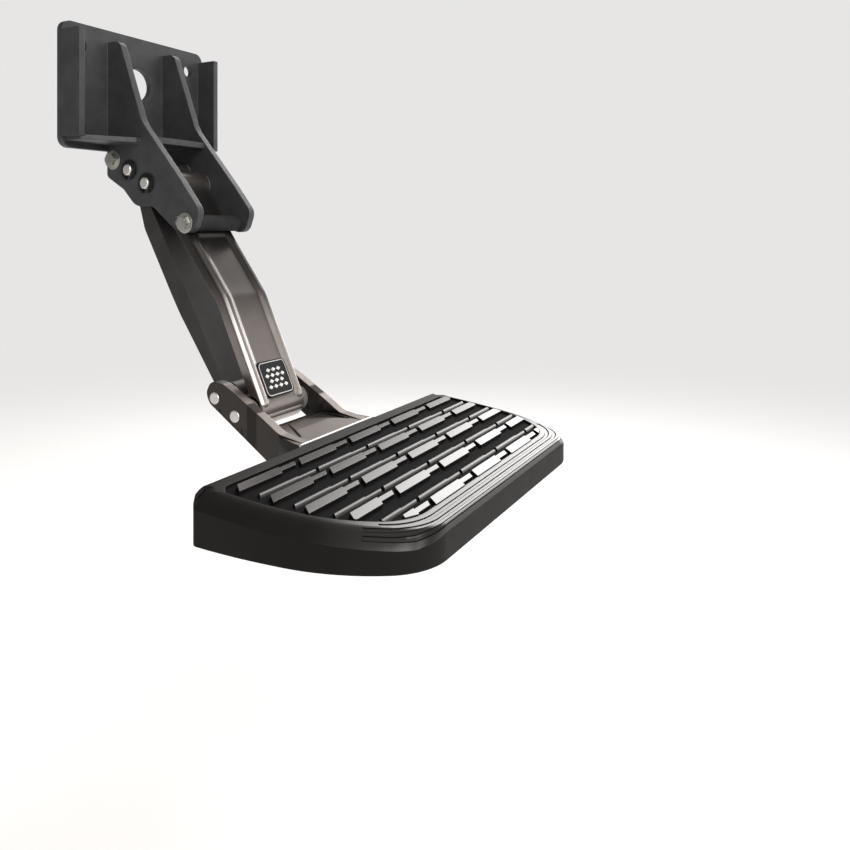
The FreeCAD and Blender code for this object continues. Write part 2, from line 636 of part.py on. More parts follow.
def deck_outline():
    """Deck skirt in plan: three blended arcs at each end, chamfered inboard corners."""
    y_out = plan_point(0, V_OUT).y
    end_corner, edge_corner = plan_point(END_X, CORNER_V), plan_point(CORNER_X, V_IN)

    # chamfer at the inboard corner, both of its ends rounded
    slope = unit(edge_corner - end_corner)
    setback_end = CORNER_R * math.tan(math.acos(slope.y) / 2)
    setback_edge = CORNER_R * math.tan(math.acos(-slope.x) / 2)
    end_start = end_corner - V(0, setback_end, 0)
    chamfer_end = end_corner + slope * setback_end
    chamfer_start = edge_corner - slope * setback_edge
    edge_end = edge_corner - V(setback_edge, 0, 0)
    center_end = V(END_X - CORNER_R, end_start.y, 0)
    center_edge = V(edge_end.x, edge_end.y - CORNER_R, 0)
    run = [
        (edge_end, arc_middle(center_edge, chamfer_start, edge_end, CORNER_R), chamfer_start),
        (chamfer_start, chamfer_end),
        (chamfer_end, arc_middle(center_end, end_start, chamfer_end, CORNER_R), end_start)]

    # tangents come from the sharp corner; the first arc then starts at its rounding
    p, tangent = end_corner, V(0, -1, 0)
    for i, joint in enumerate(END_CURVE):
        q = plan_point(*joint)
        middle, next_tangent = tangent_arc(p, tangent, q)
        if i == 0:
            p = end_start
            middle, _ = tangent_arc(p, tangent, q)
        run.append((p, middle, q))
        p, tangent = q, next_tangent

    # last arc is tangent to the straight outboard edge
    normal = V(tangent.y, -tangent.x, 0)
    radius = (p.y - y_out) / (1.0 - normal.y)
    center = p + normal * radius
    last = V(center.x, y_out, 0)
    run.append((p, arc_middle(center, p, last, radius), last))

    def mirror(q):
        return V(-q.x, q.y, 0)

    far_run = [tuple(mirror(q) for q in reversed(piece)) for piece in reversed(run)]
    pieces = run + [(last, mirror(last))] + far_run + [(mirror(edge_end), edge_end)]
    return Part.Wire([Part.makeLine(*piece) if len(piece) == 2 else Part.Arc(*piece).toShape()
                      for piece in pieces])


OUTLINE = deck_outline()
Y_IN, Y_OUT = plan_point(0, V_IN).y, plan_point(0, V_OUT).y


def section(wire, h, d_end, d_out, d_in):
    """Copy of a plan wire on the deck plane at height h, drawn in by d_end at the
    two ends, d_out along the outboard edge and d_in along the inboard edge."""
    scale_x = (END_X - d_end) / END_X
    scale_y = ((Y_IN - d_in) - (Y_OUT + d_out)) / (Y_IN - Y_OUT)
    shift_y = (Y_OUT + d_out) - Y_OUT * scale_y
    z0 = DECK_REF[1] - DECK_REF[0] * TAN_TILT + h / COS_TILT
    return wire.transformGeometry(FreeCAD.Matrix(
        scale_x, 0, 0, 0,
        0, scale_y, 0, shift_y,
        0, scale_y * TAN_TILT, 1, z0 + shift_y * TAN_TILT,
        0, 0, 0, 1))


def section_loft(wire, levels):
    return Part.makeLoft([section(wire, *level) for level in levels], True, True)


# ---------------------------------------------------------------- deck body
# Upright skirt, sloping shoulders at both ends, rounded long edges.
LEVELS = [  # height, then drawn in at the ends, outboard, inboard
    (-60.0, 0, 0, 0), (-8.0, 0, 0, 0), (-6.0, 1.8, 0.02, 0.02), (-4.0, 4.4, 0.06, 0.06),
    (-2.0, 7.8, 0.54, 0.45), (-0.6, 11.2, 1.9, 1.6), (0.0, 14.0, 4.0, 3.6)]
CAVITY_LEVELS = [(-61.0, 0, 0, 0), (-11.6, 0, 0, 0), (-SKIN, 11.0, 1.0, 0.5)]
RIB_LIMIT_LEVELS = [(-61.0, 0, 0, 0), (-11.4, 0, 0, 0), (-SKIN + 0.5, 10.4, 1.0, 0.5)]
BOTTOM_IN, BOTTOM_OUT = -290.8, -294.6     # the skirt is a little deeper outboard
FIELD_OUTLINE = mirrored([  # x, v
    (141.6, -3.5), (141.4, 12.0), (140.0, 31.0), (137.2, 53.0), (131.0, 73.8),
    (124.6, 84.4), (115.9, 94.0), (107.0, 100.9), (97.0, 104.2), (88.0, 105.0)])


def deck_shell():
    """Hollow body, open below, with the tread field sunk in its top."""
    body = section_loft(OUTLINE, LEVELS)
    slope = (BOTTOM_IN - BOTTOM_OUT) / (Y_IN - Y_OUT)
    below = [(Y_IN + 40, BOTTOM_IN + 40 * slope), (Y_OUT - 40, BOTTOM_OUT - 40 * slope),
             (Y_OUT - 40, -400), (Y_IN + 40, -400)]
    body = body.cut(side(below, -200, 200))
    body = body.cut(section_loft(OUTLINE.makeOffset2D(-WALL), CAVITY_LEVELS))
    # opening in the inboard skirt for the casting
    notch = box(-FLANGE_OUT - 6.2, FLANGE_OUT + 6.2,
                plan_point(0, V_IN + 6).y, plan_point(0, V_IN - 5).y, -310, 0)
    notch_top = -SKIN - 0.02
    body = body.cut(notch.cut(deck_box(-400, 400, -400, 400, notch_top, notch_top + 120)))
    return body.cut(deck_prism(FIELD_OUTLINE, -FIELD, 30))


# --------------------------------------------------------------------- tread
ROW = 24.157                       # tread row pitch, along v
SEG = 58.0                         # tread segment pitch, along x
SEGMENTS = 5
FIRST_X = -129.5                   # x of the first segment column
BAR_W = 7.85
CUT = -0.863                       # slant of the tread cuts, dx per dv
TREAD_BASE = -FIELD - 0.6          # treads reach down into the skin
BAR_STARTS = (0.0, 0.5, 1.0, 9.5, 26.0)     # first bar of each row, from FIRST_X
RIDGE_STARTS = (1.0, 2.0, 6.0, 16.0)        # first ridge of each row, from FIRST_X
RIDGE_V, RIDGE_W, RIDGE_H = 15.6, 5.0, 1.75
TREAD_LIMIT = mirrored([  # x, v
    (139.0, -3.0), (138.8, 8.0), (137.4, 30.0), (134.6, 52.0), (128.7, 72.0),
    (122.6, 82.2), (114.2, 91.6), (105.8, 98.6), (96.2, 102.4), (88.0, 103.6)])


def bevelled_bar(points):
    """Tread bar: straight sides, then a chamfer to an inset top."""
    low = [on_deck(x, v, TREAD_BASE) for x, v in points]
    mid = [on_deck(x, v, 0.15) for x, v in points]
    top = [on_deck(x, v, 0.6) for x, v in inset(points, 0.45)]
    faces = [flat_face(low), flat_face(top)]
    for i in range(len(points)):
        j = (i + 1) % len(points)
        faces.append(flat_face([low[i], low[j], mid[j], mid[i]]))
        faces.append(flat_face([mid[i], mid[j], top[j], top[i]]))
    bar = Part.makeSolid(Part.makeShell(faces))
    if bar.Volume < 0:
        bar.reverse()
    return bar


def tread_bars():
    """Rows of bars, each with a narrow step at its +X end."""
    bars = []
    for row, row_start in enumerate(BAR_STARTS):
        v = row * ROW
        for k in range(SEGMENTS):
            x = FIRST_X + k * SEG
            start = x if k else FIRST_X + row_start
            first, last = (start, v), (start + CUT * BAR_W, v + BAR_W)
            step = [(x + 37.0, v + 1.1), (x + 52.9, v + 1.1),
                    (x + 48.4, v + 5.4), (x + 34.2, v + 5.4)]
            head, tail = (x + 38.0, v), (x + 31.8, v + BAR_W)
            # clipped bars are built as two convex pieces, wide part and step
            wide = clip([first, head, step[0], step[3], tail, last], TREAD_LIMIT)
            narrow = clip([(x + 36.0, v + 1.1), step[1], step[2], (x + 33.2, v + 5.4)],
                          TREAD_LIMIT)
            if not wide:
                continue
            if k == SEGMENTS - 1:
                outlines = [wide]
            elif k == 0 and row >= 3:
                outlines = [wide, narrow] if narrow else [wide]
            else:
                outlines = [[first, head, *step, tail, last]]
            bars += [bevelled_bar(outline) for outline in outlines]
    return bars


def ridge(v, width, height, x0, x1):
    """Rounded ridge with slanted ends, or None where it leaves the field."""
    outline = clip([(x0, v - 1), (x1, v - 1), (x1 + CUT * (width + 2), v + width + 1),
                    (x0 + CUT * (width + 2), v + width + 1)], TREAD_LIMIT)
    if not outline:
        return None
    r = (width * width / 4 + height * height) / (2 * height)
    axis = on_deck(-150, v + width / 2, -FIELD + height - r)
    round_bar = Part.makeCylinder(r, 300, axis, V(1, 0, 0))
    return round_bar.common(deck_prism(outline, TREAD_BASE, 3))


def tread_ridges():
    """Ridges between the rows: a wide length, then a narrower, lower one."""
    ridges = []
    for row, row_start in enumerate(RIDGE_STARTS):
        v = row * ROW + RIDGE_V
        for k in range(SEGMENTS):
            x = FIRST_X + k * SEG
            start = x - 0.6 if k else FIRST_X + row_start
            wide_end = x + 36.5
            pair = (ridge(v, RIDGE_W, RIDGE_H, start, wide_end),
                    ridge(v + 0.8, RIDGE_W - 1.0, RIDGE_H - 0.25, wide_end - 0.6, x + 53.2))
            ridges += [r for r in pair if r is not None and r.Volume > 0.5]
    return ridges


# ---------------------------------------------------- deck underside and rim
RIB_BOTTOM, RIB_TOP = -10.8, -SKIN + 0.4
CROSS_RIBS = (-132.0, -108.0, -84.0, -60.0, 60.0, 84.0, 108.0, 132.0)   # x
LONG_RIBS = ((22.0, 150), (62.0, 143), (98.0, 129))                     # v, half length
CENTRE_RIBS = (-12.0, 12.0, -36.0, 36.0)                                # x
# Shallow channels along the outboard edge and round both outboard corners:
# distances in from the outboard edge, distances in from the ends, v where they stop
CHANNELS = [(9.7, 12.6, 9.6, 11.9, 93.0), (4.8, 7.6, 6.9, 9.4, 88.0),
            (1.0, 3.0, 3.4, 5.6, 89.0)]
CHANNEL_D = 0.6


def underside_ribs():
    """Ribs and screw bosses under the skin, kept inside the skirt."""
    ribs = []
    for x in CROSS_RIBS:
        v_end = 90.0 if abs(x) > 125 else 119.0
        ribs.append(deck_box(x - 1, x + 1, V_IN + 2.6, v_end, RIB_BOTTOM, RIB_TOP))
    for v, half in LONG_RIBS:
        ribs.append(deck_box(-half, half, v - 1, v + 1, RIB_BOTTOM, RIB_TOP))
    for x in CENTRE_RIBS:
        ribs.append(deck_box(x - 1, x + 1, 21.5, 119, RIB_BOTTOM, RIB_TOP))
    for x, v in SCREWS:
        ribs.append(Part.makeCylinder(6.0, RIB_TOP - PLATE_TOP - 0.06,
                                      on_deck(x, v, RIB_TOP), DECK_UP * -1.0))
    inside = section_loft(OUTLINE.makeOffset2D(-WALL + 0.6), RIB_LIMIT_LEVELS)
    return fuse(ribs).common(inside)


def cut_channels(body):
    floor = section_loft(OUTLINE, LEVELS)
    floor.translate(V(0, 0, -CHANNEL_D))
    for out_1, out_2, end_1, end_2, v_stop in CHANNELS:
        outer = Part.Face(section(OUTLINE, -30, end_1, out_1, 0)).extrude(V(0, 0, 60))
        inner = Part.Face(section(OUTLINE, -31, end_2, out_2, 0)).extrude(V(0, 0, 62))
        band = outer.cut(inner).common(deck_box(-200, 200, v_stop, 160, -20, 20))
        body = body.cut(band.cut(floor))
    return body


def deck():
    body = deck_shell()
    body = body.multiFuse([underside_ribs()] + tread_bars() + tread_ridges())
    body = cut_channels(body)
    # pockets for the threaded inserts
    for x, v in SCREWS:
        body = body.cut(deck_cyl(4.02, 8.2, x, v, PLATE_TOP - 1.0))
    return body.removeSplitter()


def deck_insert(x, v):
    insert = deck_cyl(4.0, 7.0, x, v, PLATE_TOP + 0.11)
    return insert.cut(deck_cyl(SCREW_R + 0.02, 9, x, v, PLATE_TOP - 1))


def deck_screw(x, v):
    """Screw up through the support plate, with a round socket in its head."""
    shank = deck_cyl(SCREW_R, 10.2, x, v, PLATE_BOTTOM - 0.06)
    head = deck_cyl(5.4, 3.4, x, v, PLATE_BOTTOM - 3.45)
    limit = on_deck(x, v, PLATE_BOTTOM - 3.2).z
    head = ease_edges(head, [e for e in head.Edges if e.BoundBox.Center.z < limit], 1.3)
    return fuse([shank, head]).cut(deck_cyl(1.9, 2.2, x, v, PLATE_BOTTOM - 4.0))


# -------------------------------------------------------------------- export
STOPS = (DEPLOY_STOP, STOW_STOP)
parts = {
    "mount_bracket": mount_bracket(),
    "stop_bolts": group([stop_bolt(*p) for p in STOPS]),
    "stop_nuts": group([stop_nut(*p) for p in STOPS]),
    "deploy_stop_sleeve": stop_sleeve(DEPLOY_STOP, 6.5),
    "stow_stop_sleeve": stop_sleeve(STOW_STOP, 5.0),
    "upper_outer_pin": upper_pin(*OUTER_TOP),
    "upper_inner_pin": upper_pin(*INNER_TOP),
    "pin_clips": group([pin_clip(*p, s * CLIP_X)
                        for p in (OUTER_TOP, INNER_TOP) for s in (-1, 1)]),
    "upper_thrust_washers": upper_thrust_washers(),
    "return_spring": return_spring(),
    "outer_arm": outer_arm(),
    "outer_arm_upper_bushes": bushes(OUTER_TOP, OUTER_BUSH_R, RUN),
    "outer_arm_lower_bushes": bushes(OUTER_LOW, OUTER_BUSH_R, RUN),
    "badge": badge(),
    "inner_arm": inner_arm(),
    "inner_arm_upper_bushes": bushes(INNER_TOP, INNER_BUSH_R, RUN, 13.0),
    "inner_arm_lower_bushes": bushes(INNER_LOW, INNER_BUSH_R, OPEN_RUN),
    "step_casting": step_casting(),
    "lower_outer_pin": lower_pin(OUTER_LOW),
    "lower_inner_pin": lower_pin(INNER_LOW),
    "lower_spacers": lower_spacers(),
    "pin_lock_screws": group([lock_screw(*p, s) for p in LOCK_SCREWS for s in (-1, 1)]),
    "deck": deck(),
    "deck_inserts": group([deck_insert(*p) for p in SCREWS]),
    "deck_screws": group([deck_screw(*p) for p in SCREWS]),
}

os.makedirs("parts", exist_ok=True)
for old in os.listdir("parts"):
    if old.endswith(".step"):
        os.remove(os.path.join("parts", old))
for name, shape in parts.items():
    shape.exportStep("parts/%s.step" % name)
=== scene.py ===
import math

import bpy
import numpy as np
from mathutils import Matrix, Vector


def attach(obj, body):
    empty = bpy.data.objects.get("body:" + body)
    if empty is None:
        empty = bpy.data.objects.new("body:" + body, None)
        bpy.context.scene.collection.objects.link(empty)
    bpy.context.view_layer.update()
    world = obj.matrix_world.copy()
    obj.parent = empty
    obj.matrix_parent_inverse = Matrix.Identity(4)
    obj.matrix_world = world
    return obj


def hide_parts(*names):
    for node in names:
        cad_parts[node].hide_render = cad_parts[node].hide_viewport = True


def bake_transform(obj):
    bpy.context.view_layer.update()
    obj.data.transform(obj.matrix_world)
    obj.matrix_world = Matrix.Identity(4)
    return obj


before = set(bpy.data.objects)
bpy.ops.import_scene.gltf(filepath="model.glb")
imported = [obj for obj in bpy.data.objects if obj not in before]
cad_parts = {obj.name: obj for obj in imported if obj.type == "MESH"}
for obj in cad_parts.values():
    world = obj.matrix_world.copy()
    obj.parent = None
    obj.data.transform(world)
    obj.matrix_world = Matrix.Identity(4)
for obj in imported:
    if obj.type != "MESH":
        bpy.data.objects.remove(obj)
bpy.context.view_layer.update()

sc = bpy.context.scene
rad = math.radians


# ---------------------------------------------------------------- materials
class Tree:
    """A small helper round a node tree."""

    def __init__(self, tree):
        self.t = tree
        tree.nodes.clear()

    def add(self, kind, **kw):
        n = self.t.nodes.new(kind)
        for k, v in kw.items():
            setattr(n, k, v)
        return n

    def link(self, a, b):
        self.t.links.new(a, b)

    def maths(self, op, a, b=None, c=None, clamp=False):
        n = self.add("ShaderNodeMath", operation=op, use_clamp=clamp)
        for i, v in enumerate((a, b, c)):
            if v is None:
                continue
            if isinstance(v, (int, float)):
                n.inputs[i].default_value = v
            else:
                self.link(v, n.inputs[i])
        return n.outputs[0]

    def remap(self, x, a, b, lo=0.0, hi=1.0):
        n = self.add("ShaderNodeMapRange", interpolation_type="SMOOTHSTEP")
        self.link(x, n.inputs[0])
        for i, v in enumerate((a, b, lo, hi)):
            n.inputs[i + 1].default_value = v
        return n.outputs[0]

    def mix(self, fac, a, b):
        n = self.add("ShaderNodeMix", data_type="RGBA")
        for s, v in ((n.inputs[0], fac), (n.inputs[6], a), (n.inputs[7], b)):
            if isinstance(v, (int, float)):
                s.default_value = v
            elif isinstance(v, tuple):
                s.default_value = (*v, 1.0)
            else:
                self.link(v, s)
        return n.outputs[2]

    def noise(self, vec, scale, detail=3.0, rough=0.5):
        n = self.add("ShaderNodeTexNoise")
        self.link(vec, n.inputs["Vector"])
        n.inputs["Scale"].default_value = scale
        n.inputs["Detail"].default_value = detail
        n.inputs["Roughness"].default_value = rough
        return n.outputs["Fac"]


def material(name, base, dark=None, metallic=0.0, rough=0.5, grain=900.0, bump=0.02, cloud=60.0, vary=0.12,
             side=None, spec=0.5, streak=None, painted_top_shade=None, wear=0.0, coat=0.0, fade=None, edge=0.0, gloss=0.10, lip=False):
    """Procedural finish: cloudy colour, fine grain bump, uneven gloss; optional painted shade on side faces and
    towards the top, and a painted highlight and shade at the lip.
    """
    m = bpy.data.materials.new(name)
    m.use_nodes = True
    t = Tree(m.node_tree)
    out = t.add("ShaderNodeOutputMaterial")
    bs = t.add("ShaderNodeBsdfPrincipled")
    t.link(bs.outputs[0], out.inputs[0])
    tc = t.add("ShaderNodeTexCoord")
    vec = tc.outputs["Object"]
    dark = dark or tuple(c * (1.0 - 2.2 * vary) for c in base)
    c1 = t.noise(vec, cloud, 4.0, 0.6)
    col = t.mix(t.remap(c1, 0.3, 0.7), dark, base)
    if streak:
        mp = t.add("ShaderNodeMapping")
        mp.inputs["Scale"].default_value = streak
        t.link(vec, mp.inputs["Vector"])
        st = t.noise(mp.outputs[0], 40.0, 4.0, 0.7)
        col = t.mix(t.remap(st, 0.35, 0.75, 0.0, 0.35), col, tuple(c * 0.55 for c in base))
    # painted shade: faces turned along ±X take the darker side colour
    if side is not None:
        g = t.add("ShaderNodeNewGeometry")
        sp = t.add("ShaderNodeSeparateXYZ")
        t.link(g.outputs["True Normal"], sp.inputs[0])
        ax = t.maths("ABSOLUTE", sp.outputs[0])
        col = t.mix(t.remap(ax, 0.80, 0.97), col, side)
    # painted shade: the colour darkens towards the top (object z)
    if painted_top_shade is not None:
        sp = t.add("ShaderNodeSeparateXYZ")
        t.link(vec, sp.inputs[0])
        col = t.mix(t.remap(sp.outputs[2], painted_top_shade[0], painted_top_shade[1]), col, painted_top_shade[2])
    if wear > 0:
        g = t.add("ShaderNodeNewGeometry")
        w = t.remap(g.outputs["Pointiness"], 0.515, 0.56, 0.0, wear)
        col = t.mix(w, col, tuple(min(1.0, c * 2.4 + 0.05) for c in base))
    painted_lip_highlight = None
    if lip:
        # polished strip where the casting meets the deck, painted near-white as a highlight
        sp = t.add("ShaderNodeSeparateXYZ")
        t.link(vec, sp.inputs[0])
        y0 = t.maths("ABSOLUTE", t.maths("ADD", sp.outputs[1], 0.2152))
        painted_lip_highlight = t.maths("MULTIPLY", t.remap(y0, 0.0004, 0.0013, 0.75, 0.0), t.remap(sp.outputs[2], -0.2640, -0.2632))
        col = t.mix(painted_lip_highlight, col, (0.85, 0.82, 0.80))
        # painted shade: a dark band across the casting near the floor's inboard end
        y1 = t.maths("ABSOLUTE", t.maths("ADD", sp.outputs[1], 0.1675))
        col = t.mix(t.remap(y1, 0.0035, 0.0055, 0.75, 0.0), col, (0.035, 0.031, 0.029))
    t.link(col, bs.inputs["Base Color"])
    bs.inputs["Metallic"].default_value = metallic
    bs.inputs["Specular IOR Level"].default_value = spec
    if coat:
        bs.inputs["Coat Weight"].default_value = coat
        bs.inputs["Coat Roughness"].default_value = 0.12
    c2 = t.noise(vec, cloud * 2.3, 3.0, 0.6)
    r = t.maths("MULTIPLY_ADD", c2, gloss, rough - gloss / 2, clamp=True)
    if fade is not None:
        # matt towards the truck, glossier along the trodden outboard edge
        sp = t.add("ShaderNodeSeparateXYZ")
        t.link(vec, sp.inputs[0])
        k = t.remap(sp.outputs[1], fade[0], fade[1])
        t.link(t.maths("MULTIPLY_ADD", k, spec - 0.12, 0.12), bs.inputs["Specular IOR Level"])
        r = t.maths("MULTIPLY_ADD", t.maths("SUBTRACT", 1.0, k), 0.28, r, clamp=True)
    if painted_lip_highlight is not None:
        r = t.maths("MULTIPLY_ADD", painted_lip_highlight, -0.18, r, clamp=True)
        r = t.maths("ADD", r, t.remap(y1, 0.0035, 0.0055, 0.35, 0.0), clamp=True)
    t.link(r, bs.inputs["Roughness"])
    c3 = t.noise(vec, grain, 2.0, 0.6)
    b = t.add("ShaderNodeBump")
    b.inputs["Strength"].default_value = 0.35
    b.inputs["Distance"].default_value = bump * 0.001
    t.link(c3, b.inputs["Height"])
    if edge > 0:
        rn = t.add("ShaderNodeBevel", samples=6)
        rn.inputs["Radius"].default_value = edge * 0.001
        t.link(rn.outputs[0], b.inputs["Normal"])
    t.link(b.outputs[0], bs.inputs["Normal"])
    return m


M = {}
M["skirt"] = material("deck_skirt", (0.0065, 0.006, 0.0055), rough=0.55, grain=2600, bump=0.02, cloud=24, vary=0.12, spec=0.16)
M["rim"] = material("deck_rim", (0.012, 0.011, 0.0105), rough=0.27, grain=2400, bump=0.002, cloud=30, vary=0.10, spec=0.62, gloss=0.03, fade=(-0.290, -0.335))
# near-black matte of the tread field, also used as painted shade on slot, wall and bar-side faces
M["field"] = material("deck_field_and_shade", (0.0045, 0.004, 0.004), rough=0.85, grain=1800, bump=0.05, cloud=70, vary=0.10, spec=0.08)
M["bar"] = material("deck_bar", (0.030, 0.026, 0.0245), rough=0.17, grain=2200, bump=0.001, cloud=45, vary=0.10, spec=0.85, gloss=0.03)
M["ridge"] = material("deck_ridge", (0.014, 0.0125, 0.012), rough=0.30, grain=2200, bump=0.002, cloud=45, vary=0.12, spec=0.50, gloss=0.03)
# both arm alloys darken towards the top: painted shade from above
M["arm"] = material("arm_alloy", (0.265, 0.235, 0.22), metallic=0.85, rough=0.31, grain=1300, bump=0.012, cloud=50, vary=0.04,
                    wear=0.15, gloss=0.05, painted_top_shade=(-0.200, -0.148, (0.05, 0.045, 0.042)))
# lighter copy of the arm alloy for the rail faces: painted highlight
M["rail"] = material("arm_rail", (0.47, 0.43, 0.405), metallic=0.85, rough=0.29, grain=1300, bump=0.012, cloud=50, vary=0.04,
                     wear=0.15, gloss=0.05, painted_top_shade=(-0.205, -0.148, (0.06, 0.054, 0.05)))
# the step casting's side faces are painted darker: painted shade
M["cast"] = material("step_alloy", (0.125, 0.105, 0.095), metallic=0.75, rough=0.42, grain=1100, bump=0.03, cloud=60, vary=0.10,
                     side=(0.010, 0.009, 0.0085), wear=0.12, edge=0.9, gloss=0.06, lip=True)
# dark alloy: painted shade on the inner arm, which stands in the outer arm's shade; the lock screws' own dark finish
M["dark"] = material("dark_alloy", (0.030, 0.027, 0.026), metallic=0.35, rough=0.46, grain=1200, bump=0.05, cloud=70, vary=0.16, wear=0.10, edge=0.8)
M["bracket"] = material("bracket_coat", (0.055, 0.055, 0.058), metallic=0.25, rough=0.48, grain=900, bump=0.06, cloud=60, vary=0.14, wear=0.0, edge=0.9)
M["zinc"] = material("zinc_steel", (0.56, 0.55, 0.50), metallic=0.95, rough=0.32, grain=1600, bump=0.02, cloud=160, vary=0.10)
M["pin"] = material("pin_steel", (0.72, 0.70, 0.67), metallic=0.75, rough=0.36, grain=1600, bump=0.02, cloud=180, vary=0.05)
M["bush"] = material("bush_plastic", (0.20, 0.19, 0.17), rough=0.42, grain=1500, bump=0.02, cloud=90, vary=0.10)
M["rubber"] = material("stop_rubber", (0.018, 0.018, 0.018), rough=0.78, grain=1100, bump=0.08, cloud=80, vary=0.15, spec=0.25)
M["spring"] = material("spring_steel", (0.10, 0.10, 0.105), metallic=0.85, rough=0.30, grain=1500, bump=0.02, cloud=130, vary=0.15)
M["brass"] = material("brass_insert", (0.60, 0.43, 0.17), metallic=0.95, rough=0.30, grain=1500, bump=0.02, cloud=150, vary=0.08)
M["black"] = material("black_oxide", (0.028, 0.028, 0.030), metallic=0.8, rough=0.36, grain=1500, bump=0.02, cloud=150, vary=0.12)
M["plate"] = material("badge_plate", (0.006, 0.006, 0.006), rough=0.30, grain=2600, bump=0.006, cloud=90, vary=0.10, spec=0.3, coat=0.12)
M["inlay"] = material("badge_inlay", (0.74, 0.73, 0.71), metallic=0.35, rough=0.34, grain=2600, bump=0.01, cloud=140, vary=0.04)


# ------------------------------------------------------------- mesh helpers
class Mesh:
    """Vertices in millimetres, faces with a material index."""

    def __init__(self):
        self.v, self.f, self.m = [], [], []

    def point(self, p):
        self.v.append(p)
        return len(self.v) - 1

    def ring(self, pts):
        i = len(self.v)
        self.v.extend(pts)
        return list(range(i, len(self.v)))

    def face(self, idx, mat=0):
        self.f.append(list(idx))
        self.m.append(mat)

    def skin(self, a, b, mat=0, closed=True, flip=False):
        """Quads between two rings; mat may be a list, one entry per quad."""
        n = len(a)
        for i in range(n if closed else n - 1):
            j = (i + 1) % n
            q = [a[i], a[j], b[j], b[i]]
            self.face(q[::-1] if flip else q, mat[i] if isinstance(mat, list) else mat)

    def build(self, name, mats, sharp=32.0):
        me = bpy.data.meshes.new(name)
        me.from_pydata([(x * 0.001, y * 0.001, z * 0.001) for x, y, z in self.v], [], self.f)
        for p, k in zip(me.polygons, self.m):
            p.material_index = k
            p.use_smooth = True
        for m in mats:
            me.materials.append(m)
        me.update()
        import bmesh
        bm = bmesh.new()
        bm.from_mesh(me)
        bmesh.ops.recalc_face_normals(bm, faces=bm.faces)
        bm.to_mesh(me)
        bm.free()
        me.set_sharp_from_angle(angle=rad(sharp))
        # large flat caps keep their own normal
        keys = {e.key: e for e in me.edges}
        for p in me.polygons:
            if len(p.vertices) > 4:
                for k in p.edge_keys:
                    keys[k].use_edge_sharp = True
        o = bpy.data.objects.new(name, me)
        sc.collection.objects.link(o)
        return o


def soften(o, width, segments=2, angle=32.0, weld=True, clamp=False):
    if weld:
        w = o.modifiers.new("weld", "WELD")
        w.merge_threshold = 2e-6
    b = o.modifiers.new("bevel", "BEVEL")
    b.width = width * 0.001
    b.segments = segments
    b.limit_method = "ANGLE"
    b.angle_limit = rad(angle)
    b.use_clamp_overlap = clamp
    b.miter_outer = "MITER_ARC"
    b.harden_normals = False
    n = o.modifiers.new("normals", "WEIGHTED_NORMAL")
    n.weight = 60
    n.keep_sharp = False


def paint(o, m):
    o.data.materials.clear()
    o.data.materials.append(m)
    for p in o.data.polygons:
        p.use_smooth = True


# --------------------------------------------------------------- deck frame
TILT = rad(5.55)
SA, CA, TA = math.sin(TILT), math.cos(TILT), math.tan(TILT)
REF_Y, REF_Z, V_REF = -285.1, -268.0, 53.1


def D(x, v, h):
    w = v - V_REF
    return (x, REF_Y - w * CA - h * SA, REF_Z - w * SA + h * CA)


def z_at(y, h):
    return REF_Z - (REF_Y - y) * TA + h / CA


def plan_y(v):
    return D(0, v, -5.0)[1]


END_X, V_IN, V_OUT = 155.5, -15.2, 121.5
Y_IN, Y_OUT = plan_y(V_IN), plan_y(V_OUT)


def arc_from(p, t, q, step=rad(3.0)):
    """Points after p up to q on the arc that leaves p along t, and the end tangent."""
    p, t, q = Vector(p), Vector(t).normalized(), Vector(q)
    d = q - p
    n = Vector((-t.y, t.x))
    k = d.dot(d) / (2 * d.dot(n))
    c = p + n * k
    a0 = math.atan2(p.y - c.y, p.x - c.x)
    a1 = math.atan2(q.y - c.y, q.x - c.x)
    da = (a1 - a0 + math.pi) % (2 * math.pi) - math.pi
    m = max(3, int(abs(da) / step) + 1)
    r = abs(k)
    pts = [(c.x + r * math.cos(a0 + da * i / m), c.y + r * math.sin(a0 + da * i / m)) for i in range(1, m + 1)]
    e = Vector((-(q - c).y, (q - c).x)) * (1.0 if k > 0 else -1.0)
    return pts, e.normalized()


def half_outline():
    rc = 4.0
    c1, c0 = Vector((END_X, plan_y(-8.0))), Vector((148.3, Y_IN))
    d = (c0 - c1).normalized()
    k0 = rc * math.tan(math.acos(d.y) / 2)
    k1 = rc * math.tan(math.acos(-d.x) / 2)
    s0, s1 = c1 - Vector((0, k0)), c1 + d * k0
    s2, s3 = c0 - d * k1, c0 - Vector((k1, 0))
    pts = [(x, Y_IN) for x in (0, 12, 24, 36, 47.55, 47.75, 60, 75, 90, 105, 120, 134)] + [tuple(s3)]
    a, _ = arc_from(s3, (1, 0), s2, rad(6))
    pts += a
    for i in range(1, 5):
        pts.append(tuple(s2.lerp(s1, i / 4)))
    a, _ = arc_from(s1, tuple(-d), s0, rad(6))
    pts += a
    p, t = s0, Vector((0, -1))
    for q in ((150.9, 52.0), (129.2, 105.0)):
        q = (q[0], plan_y(q[1]))
        a, t = arc_from(p, t, q, rad(1.6))
        pts += a
        p = Vector(q)
    n = Vector((t.y, -t.x))
    r = (p.y - Y_OUT) / (1.0 - n.y)
    c = p + n * r
    a, _ = arc_from(p, t, (c.x, Y_OUT), rad(2.5))
    pts += a
    x = c.x
    m = 12
    pts += [(x * (1 - i / m), Y_OUT) for i in range(1, m + 1)]
    return pts


def scaled(pts, de, do, di):
    kx = (END_X - de) / END_X
    ky = ((Y_IN - di) - (Y_OUT + do)) / (Y_IN - Y_OUT)
    oy = (Y_OUT + do) - Y_OUT * ky
    return np.c_[pts[:, 0] * kx, pts[:, 1] * ky + oy], ky, oy


half = half_outline()
